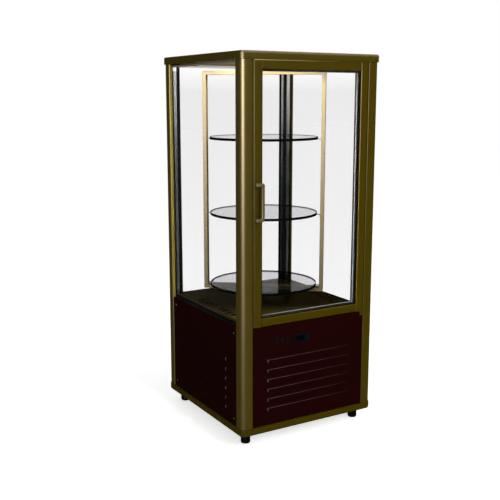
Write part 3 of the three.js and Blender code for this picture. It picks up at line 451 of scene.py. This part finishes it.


# aluminium spacer bars between the panes, with painted light: bright near the light, dull
# lower down
spacerBars = {
    # each side's bar gets its own painted light, from a dark low tone to a bright high one
    "wall": {"low": (0.036, 0.036, 0.036), "high": (0.42, 0.42, 0.41)},
    "rear": {"low": (0.105, 0.105, 0.100), "high": (0.78, 0.78, 0.76)},
    "door": {"low": (0.030, 0.030, 0.030), "high": (0.050, 0.050, 0.050)},
    "paintedLightRange": (1.10, 1.54),
    "paintedLightPower": 1.9,
    "grain": 700.0,
    "grainStretch": (1, 1, 0.02),
    "grainLeast": 0.85,
    "grainGain": 0.3,
    "footRail": 0.530,
    "foot": (0.018, 0.013, 0.007),
    "headRail": 1.5265,
    "head": (0.030, 0.022, 0.012),
    "paintedGlowRange": (1.508, 1.514),
    "glow": (0.55, 0.54, 0.50),
    "headPaintedGlow": (0.105, 0.090, 0.064),
    "capShadow": 1.5335,
    "paleLineFrom": -0.3245,
    "seamTo": -0.3195,
    "seam": (0.30, 0.30, 0.30),
    "hole": (0.010, 0.010, 0.010),
    "holePitch": 0.006,
    "holeRadius": 0.0006,
    "holeGrain": 0.2,
    "holeDepth": 0.0002,
    "roughness": 0.42,
    "roughnessSpread": 0.12,
}


def spacerFinish(name, side):
    finish = Finish(name, Specular_IOR_Level=0.0)
    z = finish.axis("Z")
    grain = finish.noise(spacerBars["grain"], 2.0, spacerBars["grainStretch"])
    holes = z.wrapped(spacerBars["holePitch"]) < spacerBars["holeRadius"]
    holes = holes * (grain > spacerBars["holeGrain"])
    paintedLight = finish.ramp(z, *spacerBars["paintedLightRange"]) ** spacerBars["paintedLightPower"]
    paintedLight = paintedLight * (spacerBars["grainLeast"] + grain * spacerBars["grainGain"])
    tones = spacerBars[side]
    plain = finish.tone(paintedLight, tones["low"], tones["high"])
    if side == "door":
        # a paler line down the middle of the door's bar
        y = finish.axis("Y")
        seam = (y > spacerBars["paleLineFrom"]) * (y < spacerBars["seamTo"])
        plain = finish.tone(seam, plain, spacerBars["seam"])
    # painted shade along the foot rail and the head rail
    plain = finish.tone(z < spacerBars["footRail"], plain, spacerBars["foot"])
    plain = finish.tone(z > spacerBars["headRail"], plain, spacerBars["head"])
    roughness = around(spacerBars["roughness"], grain, spacerBars["roughnessSpread"])
    plain = finish.tone(holes, plain, spacerBars["hole"])
    finish.set({"Base Color": plain, "Roughness": roughness})
    if side != "door":
        # a painted glow by emission stands for the lamp under the ceiling lighting the bar
        # along the head from within
        lit = finish.ramp(z, *spacerBars["paintedGlowRange"])
        glow = finish.tone(lit, black, spacerBars["glow"])
        if side == "wall":
            glow = finish.tone(z > spacerBars["headRail"], glow, spacerBars["headPaintedGlow"])
        # painted shadow under the cap cuts the glow off
        glow = finish.tone(z > spacerBars["capShadow"], glow, black)
        finish.set({"Emission Color": glow, "Emission Strength": 1.0})
    finish.bump(holes * -1.0, spacerBars["holeDepth"])
    return finish.material


# plain surfaces: rubber, spark-eroded plastic, and sheet faintly rolled along x
surfaces = {
    "rubber": {
        "grain": 1300.0,
        "grainDetail": 3.0,
        "grainStretch": (1, 1, 1),
        "grainShare": 0.0,
        "drift": 25.0,
        "driftDetail": 4.0,
        "driftShift": 2.0,
        "depth": 0.00005,
        "spread": 0.15,
        "gloss": 0.0002,
        "glint": white,
    },
    "plastic": {
        "grain": 1700.0,
        "grainDetail": 2.0,
        "grainStretch": (1, 1, 1),
        "grainShare": 0.0,
        "drift": 40.0,
        "driftDetail": 3.0,
        "driftShift": 1.0,
        "depth": 0.00003,
        "spread": 0.12,
        "gloss": 0.0003,
        "glint": white,
    },
    "sheet": {
        "grain": 500.0,
        "grainDetail": 2.0,
        "grainStretch": (0.02, 1, 1),
        "grainShare": 0.4,
        "drift": 7.0,
        "driftDetail": 4.0,
        "driftShift": 4.0,
        "depth": 0.00002,
        "spread": 0.14,
        "gloss": 0.0006,
        "glint": (1.0, 0.98, 0.94),
    },
}
# where a painted sheen sets in, towards the cabinet's front left
paintedSheenCorner = {"slope": -0.5, "range": (0.12, 0.36)}


def surfaceFinish(name, kind, low, high, roughness, gloss=None, near=None):
    surface = surfaces[kind]
    finish = Finish(name, Specular_IOR_Level=0.0)
    grain = finish.noise(surface["grain"], surface["grainDetail"], surface["grainStretch"])
    drift = surface["drift"], surface["driftDetail"]
    drift = finish.noise(*drift, shift=surface["driftShift"])
    share = surface["grainShare"]
    tone = finish.tone(drift * (1 - share) + grain * share, low, high)
    # a painted sheen, lighter towards the front left
    if near:
        sheenShare = finish.axis("X") * paintedSheenCorner["slope"] - finish.axis("Y")
        sheenShare = finish.ramp(sheenShare, *paintedSheenCorner["range"])
        tone = finish.tone(sheenShare, tone, near)
    finish.set({"Base Color": tone, "Roughness": roughness})
    normal = finish.bump(grain, surface["depth"])
    if gloss is None:
        gloss = surface["gloss"]
    roughness = around(roughness, grain, surface["spread"])
    finish.lacquer(gloss, surface["glint"], roughness, normal)
    return finish.material


finishes = {
    "goldAlongX": anodisedFinish("anodisedAlongX", "x", gloss="flatGloss"),
    "capAlongX": anodisedFinish("capAlongX", "x", gloss="capGloss"),
    "goldAlongZ": anodisedFinish("anodisedAlongZ", "z", gloss="flatGloss"),
    "polishedAlongZ": anodisedFinish("polishedAlongZ", "z"),
    "brightGold": anodisedFinish("brightAnodised", "z", "brightDark", "brightLight"),
    "wornEdge": paintedEdgeHighlightFinish(),
    "maroon": powderCoatFinish("maroonPowderCoat", "dark", "light"),
    "maroonRidgeHighlight": powderCoatFinish("maroonRidgeHighlight", "ridgeHighlightDark", "ridgeLight", "ridgeFar"),
    "maroonEndHighlight": powderCoatFinish("maroonEndHighlight", "endDark", "endLight"),
    "maroonShade": powderCoatFinish("maroonShade", "shadeDark", "shadeLight"),
    "pane": paneFinish(),
    "shelf": shelfFinish(),
    "shelfRim": shelfRimFinish(),
    "wallSpacer": spacerFinish("wallSpacerBar", "wall"),
    "rearSpacer": spacerFinish("rearSpacerBar", "rear"),
    "doorSpacer": spacerFinish("doorSpacerBar", "door"),
}
# name, kind, dark and light tone, roughness, and a gloss where it isn't the kind's own
plainFinishes = {
    "rubber": ("blackRubber", "rubber", (0.002, 0.002, 0.0021), (0.004, 0.004, 0.004), 0.5),
    "black": ("blackPlastic", "plastic", (0.0042, 0.0038, 0.003), (0.007, 0.0065, 0.005), 0.4),
    "grey": ("greyPlastic", "plastic", (0.0014, 0.0044, 0.006), (0.0022, 0.006, 0.008), 0.4),
    "mouth": ("ventMouthShade", "plastic", (0.011, 0.006, 0.0016), (0.017, 0.01, 0.003), 0.7, 0.0),
    "lens": ("smokedLens", "plastic", (0.0006, 0.0012, 0.0016), (0.001, 0.002, 0.0025), 0.15),
    "ceiling": ("ceilingPaint", "sheet", (0.24, 0.175, 0.090), (0.30, 0.22, 0.115), 0.5),
    "deck": ("deckPaint", "sheet", (0.0165, 0.0120, 0.0010), (0.0240, 0.0180, 0.0024), 0.42),
    "steel": ("plainSteel", "sheet", (0.22, 0.22, 0.22), (0.32, 0.32, 0.32), 0.35, 0.004),
    "enamel": ("blackEnamel", "sheet", (0.010, 0.010, 0.011), (0.016, 0.016, 0.017), 0.3),
    "foam": ("insulation", "plastic", (0.018, 0.008, 0.005), (0.030, 0.014, 0.008), 0.7, 0.0),
    "zinc": ("zincPlate", "sheet", (0.10, 0.095, 0.085), (0.16, 0.15, 0.13), 0.35, 0.001),
}
# painted sheen on the deck
paintedSheenTones = {"deck": (0.100, 0.074, 0.014)}
for key, given in plainFinishes.items():
    finishes[key] = surfaceFinish(*given, near=paintedSheenTones.get(key))
print("finishes made:", len(finishes))


# forms and finished pieces
merging = {"distance": 0.00001, "flatDegrees": 1, "facing": 0.9}
soft = {"edge": 0.0006, "segments": 2, "creaseDegrees": 32}


def welded(node):
    # a merged copy of a CAD node, its flat faces whole again
    form = bmesh.new()
    form.from_mesh(frame["nodes"][node].data)
    bmesh.ops.remove_doubles(form, verts=form.verts, dist=merging["distance"])
    flat = math.radians(merging["flatDegrees"])
    bmesh.ops.dissolve_limit(form, angle_limit=flat, verts=form.verts, edges=form.edges)
    return form


def bar(form, low, high):
    made = bmesh.ops.create_cube(form, size=1.0)["verts"]
    middle = [(a + b) / 2 for a, b in zip(low, high)]
    bmesh.ops.scale(form, vec=[b - a for a, b in zip(low, high)], verts=made)
    bmesh.ops.translate(form, vec=middle, verts=made)


def faceBar(form, along, depths, low, high):
    # a bar on a face that lies along x or y, between two corners (sideways, z) of that face
    near, far = sorted(depths)
    if along == "x":
        bar(form, (low[0], near, low[1]), (high[0], far, high[1]))
    else:
        bar(form, (near, low[0], low[1]), (far, high[0], high[1]))


# one object on its body, with its edges sharp or bevelled, standing in for CAD nodes
def addPiece(
    form,
    name,
    materials,
    body,
    replaced=(),
    edge=0.0,
    segments=soft["segments"],
    crease=soft["creaseDegrees"],
):
    for face in form.faces:
        face.smooth = True
    limit = math.radians(crease)
    for side in form.edges:
        side.smooth = len(side.link_faces) == 2 and side.calc_face_angle() < limit
    mesh = bpy.data.meshes.new(name)
    form.to_mesh(mesh)
    form.free()
    for material in materials:
        mesh.materials.append(finishes[material])
    piece = bpy.data.objects.new(name, mesh)
    scene.collection.objects.link(piece)
    if edge:
        bevel = piece.modifiers.new("edge", "BEVEL")
        bevel.width = edge
        bevel.segments = segments
        bevel.limit_method = "ANGLE"
        bevel.angle_limit = limit
        bevel.harden_normals = True
    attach(piece, body)
    if replaced:
        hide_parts(*replaced)


def pieceName(node):
    first, *rest = node.split("_")
    return first + "".join(word.capitalize() for word in rest)


def dress(node, material, edge=soft["edge"], segments=soft["segments"]):
    form, name = welded(node), pieceName(node)
    addPiece(form, name, [material], bodyOf[node], [node], edge, segments)


# casing: which nodes wear each finish, and how far their edges are broken
casing = {
    "polishedAlongZ": ["post_front_left", "post_rear_left"],
    "goldAlongZ": [
        "post_front_right",
        "post_rear_right",
        "door_stile_latch",
        "door_stile_hinge",
        "door_surround",
    ],
    "goldAlongX": ["door_rail_bottom", "door_rail_top", "base_frame"],
    "maroon": ["panel_front", "panel_left", "panel_right", "panel_rear"],
    "wallSpacer": ["spacer_left"],
    "rearSpacer": ["spacer_right", "spacer_rear"],
    "doorSpacer": ["door_spacer"],
    "ceiling": ["ceiling_panel"],
    "deck": ["display_deck", "drive_cover"],
    "foam": ["insulated_floor"],
    "rubber": ["door_gasket"],
    "black": [
        "switch_frame",
        "thermostat_button_1",
        "thermostat_button_2",
        "thermostat_button_3",
        "condenser_fan",
        "evaporator_fan",
        "cable_gland",
    ],
    "grey": ["thermostat_housing"],
    "enamel": ["gear_motor", "compressor", "condenser_fan_motor"],
    "steel": ["condenser", "evaporator"],
    "zinc": ["carousel_spindle"],
}
roundings = {
    "panel_front": 0.0014,
    "panel_left": 0.0014,
    "panel_right": 0.0014,
    "panel_rear": 0.0014,
    "door_rail_top": 0.0012,
    "door_stile_latch": 0.0005,
    "door_stile_hinge": 0.0004,
    "post_front_right": 0.0004,
}
for material, nodes in casing.items():
    for node in nodes:
        dress(node, material, roundings.get(node, soft["edge"]))


# the cap: a shallow lid, its upper edge rolled over and its underside a well
cap = {
    "corner": 0.018,
    "cornerSteps": 8,
    "roll": 0.0080,
    "rollSteps": 6,
    "wall": 0.0020,
    "edge": 0.0005,
}


def bevelEdges(form, edges, offset, segments):
    bmesh.ops.bevel(
        form,
        geom=edges,
        offset=offset,
        segments=segments,
        affect="EDGES",
        profile=0.5,
        material=-1,
    )


def addCap():
    low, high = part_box("top_cap")
    form = bmesh.new()
    bar(form, low, high)
    upright = [side for side in form.edges if side.verts[0].co.z != side.verts[1].co.z]
    bevelEdges(form, upright, cap["corner"], cap["cornerSteps"])
    top = max(vert.co.z for vert in form.verts)
    rim = [side for side in form.edges if all(vert.co.z == top for vert in side.verts)]
    bevelEdges(form, rim, cap["roll"], cap["rollSteps"])
    under = min(form.faces, key=lambda face: face.calc_center_median().z)
    bmesh.ops.inset_region(form, faces=[under], thickness=cap["wall"], depth=0.0)
    raised = bmesh.ops.extrude_discrete_faces(form, faces=[under])["faces"][0]
    rise = (0, 0, high[2] - low[2] - cap["wall"])
    bmesh.ops.translate(form, vec=rise, verts=list(raised.verts))
    addPiece(form, "topCap", ["capAlongX"], "cabinet", ["top_cap"], cap["edge"])


addCap()
print("casing dressed")


# hardware: the finish of each node, and how far its edges are rounded
hardware = {
    "door_handle": ("brightGold", 0.0036),
    "hinge_bracket_bottom": ("goldAlongZ", 0.0010),
    "hinge_bracket_top": ("goldAlongZ", 0.0010),
    "carousel_frame": ("brightGold", 0.0012),
    "foot_front_left": ("rubber", 0.0040),
    "foot_front_right": ("rubber", 0.0040),
    "foot_rear_left": ("rubber", 0.0040),
    "foot_rear_right": ("rubber", 0.0040),
    "rocker_switch_1": ("black", 0.0012),
    "rocker_switch_2": ("black", 0.0012),
    "rocker_switch_3": ("black", 0.0012),
}
for node, (material, rounding) in hardware.items():
    dress(node, material, rounding, segments=3)
print("hardware dressed")


# from here on, small pieces that the solids leave to the looks
# black glazing beads: a line below each pane and up its sides, and one up each rear corner
beads = {
    "thickness": 0.0030,
    "proud": 0.0025,
    "wallHalf": 0.290,
    "wallOuter": 0.3087,
    "rearOuter": 0.3237,
    "wallRearHalf": 0.275,
    "wallLow": 0.5,
    "wallHigh": 1.5387,
    "cornerX": 0.2857,
    "cornerY": 0.3007,
    "corner": 0.012,
    "cornerLow": 0.5105,
    "cornerHigh": 1.5390,
    "cornerEdge": 0.002,
    "doorHalf": 0.236,
    "doorLow": 0.534,
    "doorHigh": 1.504,
    "doorFront": -0.3337,
    "doorRear": -0.3107,
}


def addBeadFrame(name, body, along, front, proud, half, low, high):
    form = bmesh.new()
    thick = beads["thickness"]
    spans = [
        ((-half, low), (half, low + thick)),
        ((-half, low + thick), (-half + thick, high - thick)),
        ((half - thick, low + thick), (half, high - thick)),
    ]
    for first, last in spans:
        faceBar(form, along, (front, front + proud), first, last)
    addPiece(form, name, ["rubber"], body)


def addCornerBeads():
    form = bmesh.new()
    thick = beads["corner"]
    for sign in (-1, 1):
        left, right = sorted((sign * beads["cornerX"], sign * (beads["cornerX"] - thick)))
        low = (left, beads["cornerY"] - thick, beads["cornerLow"])
        bar(form, low, (right, beads["cornerY"], beads["cornerHigh"]))
    edge = beads["cornerEdge"]
    addPiece(form, "cornerBeads", ["rubber"], "cabinet", edge=edge)


def addBeads():
    proud = beads["proud"]
    outer, rearOuter = beads["wallOuter"], beads["rearOuter"]
    wall = (beads["wallHalf"], beads["wallLow"], beads["wallHigh"])
    rear = (beads["wallRearHalf"], beads["wallLow"], beads["wallHigh"])
    door = (beads["doorHalf"], beads["doorLow"], beads["doorHigh"])
    addBeadFrame("glazingBeadLeft", "cabinet", "y", -outer, -proud, *wall)
    addBeadFrame("glazingBeadRight", "cabinet", "y", outer, proud, *wall)
    addBeadFrame("glazingBeadRear", "cabinet", "x", rearOuter, proud, *rear)
    addBeadFrame("glazingBeadDoorFront", "door", "x", beads["doorFront"], -proud, *door)
    addBeadFrame("glazingBeadDoorRear", "door", "x", beads["doorRear"], proud, *door)
    addCornerBeads()


addBeads()
print("beads in")


# a thin strip at the door's upper edge with a painted highlight, bright towards the handle
paintedDoorTopLine = {
    "half": 0.2690,
    "low": 1.5354,
    "high": 1.5380,
    "front": -0.3406,
    "back": -0.3380,
    "edge": 0.0004,
}


def addPaintedDoorTopLine():
    form = bmesh.new()
    low = (-paintedDoorTopLine["half"], paintedDoorTopLine["front"], paintedDoorTopLine["low"])
    bar(form, low, (paintedDoorTopLine["half"], paintedDoorTopLine["back"], paintedDoorTopLine["high"]))
    edge = paintedDoorTopLine["edge"]
    addPiece(form, "doorTopEdge", ["wornEdge"], "door", edge=edge)


addPaintedDoorTopLine()


# the pressed ridge along each louvre's top, the front ones with a painted highlight, a strip
# of painted shade below it and a painted highlight on its left end
ridges = {
    "count": 6,
    "pitch": 0.041,
    "half": 0.2040,
    "rise": 0.0040,
    "inner": 0.0030,
    "outer": 0.0052,
    "width": 0.0020,
    "shade": 0.0030,
    "shadeOuter": 0.0048,
    "end": 0.0110,
    "endWidth": 0.0012,
    "frontTop": 0.3535,
    "sideTop": 0.3470,
    "frontFace": -0.3360,
    "rearFace": 0.3360,
    "sideFace": 0.3210,
    "edge": 0.0004,
    "shadeEdge": 0.0002,
}


def addRidges():
    front, others, shade, ends = [bmesh.new() for k in range(4)]
    half, width = ridges["half"], ridges["width"]
    sides = [
        (front, ridges["frontFace"], "x", ridges["frontTop"]),
        (others, ridges["rearFace"], "x", ridges["sideTop"]),
        (others, -ridges["sideFace"], "y", ridges["sideTop"]),
        (others, ridges["sideFace"], "y", ridges["sideTop"]),
    ]
    for form, face, along, top in sides:
        sign = 1 if face > 0 else -1
        inner, outer, shaded = (
            face + sign * ridges[key] for key in ("inner", "outer", "shadeOuter")
        )
        for k in range(ridges["count"]):
            z = top - k * ridges["pitch"] + ridges["rise"]
            under, over = z - width / 2, z + width / 2
            faceBar(form, along, (inner, outer), (-half, under), (half, over))
            low = (-half, under - ridges["shade"])
            faceBar(shade, along, (inner, shaded), low, (half, under))
            low = (-half - ridges["endWidth"], z - ridges["end"])
            faceBar(ends, along, (inner, outer), low, (-half, z))
    pieces = [
        (front, "frontLouvreRidges", "maroonRidgeHighlight", ridges["edge"]),
        (others, "sideLouvreRidges", "maroon", ridges["edge"]),
        (shade, "louvrePaintedShades", "maroonShade", ridges["shadeEdge"]),
        (ends, "louvreEndHighlights", "maroonEndHighlight", ridges["edge"]),
    ]
    for form, name, material, edge in pieces:
        addPiece(form, name, [material], "cabinet", edge=edge)


addRidges()


# pressed hoods over the air slots of the deck, each with its front face painted dark as the
# shade of its mouth
vents = {
    "x": 0.2547,
    "pitch": 0.037,
    "count": 9,
    "length": 0.044,
    "depth": 0.022,
    "rise": 0.0062,
    "deck": 0.5100,
    "ends": 0.72,
    "fall": 0.9,
    "edge": 0.0004,
}


def addVents():
    form = bmesh.new()
    half = (vents["count"] - 1) / 2
    for sign in (-1, 1):
        for k in range(vents["count"]):
            y = vents["pitch"] * (k - half)
            made = bmesh.ops.create_cube(form, size=1.0)["verts"]
            size = (vents["length"], vents["depth"], vents["rise"])
            bmesh.ops.scale(form, vec=size, verts=made)
            # the roof narrows, and falls to the deck at the back
            roof = [vert for vert in made if vert.co.z > 0]
            bmesh.ops.scale(form, vec=(vents["ends"], 1, 1), verts=roof)
            back = [vert for vert in roof if vert.co.y > 0]
            bmesh.ops.translate(form, vec=(0, 0, -vents["fall"] * vents["rise"]), verts=back)
            place = (sign * vents["x"], y, vents["deck"] + vents["rise"] / 2)
            bmesh.ops.translate(form, vec=place, verts=made)
    # the front faces take painted shade for the open mouths
    for face in form.faces:
        if face.normal.y < -merging["facing"]:
            face.material_index = 1
    slot, edge = slotOf["display_deck"], vents["edge"]
    addPiece(form, "deckVents", ["deck", "mouth"], "cabinet", edge=edge)


addVents()


# black strips that seal the glass to the panel below it
sills = {
    "thickness": 0.0016,
    "level": 0.5001,
    "half": 0.290,
    "inner": 0.3090,
    "outer": 0.3212,
    "edge": 0.0004,
}


def addSills():
    form = bmesh.new()
    top = sills["level"] + sills["thickness"]
    for sign in (-1, 1):
        depths = (sign * sills["inner"], sign * sills["outer"])
        low, high = (-sills["half"], sills["level"]), (sills["half"], top)
        faceBar(form, "y", depths, low, high)
    addPiece(form, "panelSeals", ["rubber"], "cabinet", edge=sills["edge"])


addSills()


# domed screws in the corners of the side and rear panels
screws = {
    "radius": 0.0040,
    "dome": 0.0020,
    "sideFace": 0.321,
    "sideOut": 0.266,
    "rearFace": 0.336,
    "rearOut": 0.251,
    "heights": (0.108, 0.470),
    "segments": 20,
    "rings": 10,
    "creaseDegrees": 60,
}


def addScrews():
    form = bmesh.new()
    places = []
    for z in screws["heights"]:
        for sign in (-1, 1):
            for y in (-screws["sideOut"], screws["sideOut"]):
                places.append((sign * screws["sideFace"], y, z, "Y", sign))
            places.append((sign * screws["rearOut"], screws["rearFace"], z, "X", -1))
    for x, y, z, axis, sign in places:
        made = bmesh.ops.create_uvsphere(
            form,
            u_segments=screws["segments"],
            v_segments=screws["rings"],
            radius=screws["radius"],
        )["verts"]
        bmesh.ops.scale(form, vec=(1, 1, screws["dome"] / screws["radius"]), verts=made)
        turn = Matrix.Rotation(math.radians(90) * sign, 3, axis)
        bmesh.ops.rotate(form, cent=(0, 0, 0), matrix=turn, verts=made)
        bmesh.ops.translate(form, vec=(x, y, z), verts=made)
    crease = screws["creaseDegrees"]
    addPiece(form, "panelScrews", ["zinc"], "cabinet", crease=crease)


addScrews()


# smoked lens over the thermostat's window
lens = {
    "low": (-0.0665, -0.3400, 0.4168),
    "high": (-0.0255, -0.3388, 0.4382),
    "edge": 0.0005,
}


def addLens():
    form = bmesh.new()
    bar(form, lens["low"], lens["high"])
    edge = lens["edge"]
    addPiece(form, "thermostatLens", ["lens"], "cabinet", edge=edge)


addLens()
print("screws and lens in")


# panes and shelves
panes = [
    "glass_left_outer",
    "glass_left_inner",
    "glass_right_outer",
    "glass_right_inner",
    "glass_rear_outer",
    "glass_rear_inner",
    "door_glass_outer",
    "door_glass_inner",
]
for node in panes:
    dress(node, "pane", 0.0)

shelves = ["shelf_bottom", "shelf_middle", "shelf_top"]


def addShelf(node):
    form = welded(node)
    for face in form.faces:
        if abs(face.normal.z) < merging["facing"]:
            face.material_index = 1
    name = pieceName(node)
    addPiece(form, name, ["shelf", "shelfRim"], bodyOf[node], [node])


for node in shelves:
    addShelf(node)


# the black polished edge round each shelf
shelfEdge = {
    "outer": 0.2350,
    "inner": 0.2325,
    "over": 0.0010,
    "under": 0.0098,
    "axis": (0.0, 0.030),
    "steps": 96,
    "edge": 0.0004,
}


def addShelfEdge(node):
    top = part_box(node)[1][2]
    low, high = top - shelfEdge["under"], top + shelfEdge["over"]
    form = bmesh.new()
    corners = [
        form.verts.new((radius, 0, z))
        for radius, z in (
            (shelfEdge["inner"], low),
            (shelfEdge["outer"], low),
            (shelfEdge["outer"], high),
            (shelfEdge["inner"], high),
        )
    ]
    sides = [form.edges.new((corners[k - 1], corners[k])) for k in range(len(corners))]
    bmesh.ops.spin(
        form,
        geom=corners + sides,
        cent=(0, 0, 0),
        axis=(0, 0, 1),
        angle=math.tau,
        steps=shelfEdge["steps"],
        use_merge=True,
    )
    bmesh.ops.remove_doubles(form, verts=form.verts, dist=merging["distance"])
    bmesh.ops.translate(form, vec=(*shelfEdge["axis"], 0), verts=form.verts)
    bmesh.ops.recalc_face_normals(form, faces=form.faces)
    name, edge = pieceName(node) + "Edge", shelfEdge["edge"]
    addPiece(form, name, ["shelfRim"], "carousel", edge=edge)


for node in shelves:
    addShelfEdge(node)
print("glass in")


# floor, backdrop light and lamps
studio = {
    "ambient": 0.38,
    "floorDark": (0.84, 0.84, 0.83),
    "floorLight": (0.85, 0.85, 0.84),
    "floorDrift": 2.0,
    "floorRoughness": 0.9,
    "floorLift": 0.69,
    "floorReach": 30.0,
}
lamps = {
    "keySoftbox": {
        "place": (1.6, -4.2, 3.2),
        "aim": (0.0, 0.0, 0.8),
        "width": 2.2,
        "height": 2.2,
        "power": 120.0,
        "diffuse": True,
    },
    "edgeStrip": {
        "place": (-3.07, -2.91, 1.75),
        "aim": (0.0, 0.0, 1.0),
        "width": 3.0,
        "height": 1.0,
        "power": 12500.0,
        "diffuse": False,
    },
    "louvreStrip": {
        "place": (-0.5, -1.6, 4.6),
        "aim": (0.0, 0.0, 0.5),
        "width": 2.5,
        "height": 0.5,
        "power": 3200.0,
        "diffuse": False,
    },
    "cabinetLight": {
        "place": (0.0, 0.0, 1.532),
        "aim": (0.0, 0.0, 0.5),
        "width": 0.36,
        "height": 0.36,
        "power": 8.0,
        "diffuse": True,
    },
}


def addWorld():
    # white to the camera and in mirrors, dimmer as a light on the cabinet
    world = bpy.data.worlds.new("studio")
    scene.world = world
    graph = Graph(world)
    background = graph.tree.nodes["Background"]
    camera, glossy, through = [
        graph.node("ShaderNodeLightPath", out=kind)
        for kind in ("Is Camera Ray", "Is Glossy Ray", "Is Transmission Ray")
    ]
    shown = camera.larger(glossy).larger(through)
    graph.feed(background.inputs["Color"], white)
    ambient = studio["ambient"]
    graph.feed(background.inputs["Strength"], shown * (1 - ambient) + ambient)


def addFloor():
    finish = Finish("paleFloor", Roughness=studio["floorRoughness"], Specular_IOR_Level=0.0)
    camera = finish.node("ShaderNodeLightPath", out="Is Camera Ray")
    glossy = finish.node("ShaderNodeLightPath", out="Is Glossy Ray")
    drift = finish.noise(studio["floorDrift"])
    finish.set(
        {
            "Base Color": finish.tone(drift, studio["floorDark"], studio["floorLight"]),
            "Emission Color": white,
            "Emission Strength": camera.larger(glossy) * studio["floorLift"],
        }
    )
    form = bmesh.new()
    bmesh.ops.create_grid(form, x_segments=1, y_segments=1, size=studio["floorReach"])
    mesh = bpy.data.meshes.new("floor")
    form.to_mesh(mesh)
    form.free()
    mesh.materials.append(finish.material)
    floor = bpy.data.objects.new("floor", mesh)
    scene.collection.objects.link(floor)


def shelfPieces():
    # the light strips are there for the metal, and the shelves don't mirror them
    kept = bpy.data.collections.new("kept from the strips")
    for piece in scene.collection.objects:
        if piece.name.startswith("shelf"):
            kept.objects.link(piece)
    for member in kept.collection_objects:
        member.light_linking.link_state = "EXCLUDE"
    return kept


def addLamps():
    kept = shelfPieces()
    for name, lamp in lamps.items():
        data = bpy.data.lights.new(name, "AREA")
        data.shape = "RECTANGLE"
        data.size = lamp["width"]
        data.size_y = lamp["height"]
        data.energy = lamp["power"]
        light = bpy.data.objects.new(name, data)
        light.location = lamp["place"]
        aim = Vector(lamp["aim"]) - Vector(lamp["place"])
        light.rotation_euler = aim.to_track_quat("-Z", "Y").to_euler()
        light.visible_camera = False
        light.visible_transmission = False
        light.visible_diffuse = lamp["diffuse"]
        if not lamp["diffuse"]:
            light.light_linking.receiver_collection = kept
        scene.collection.objects.link(light)


addWorld()
addFloor()
addLamps()
print("studio lit")
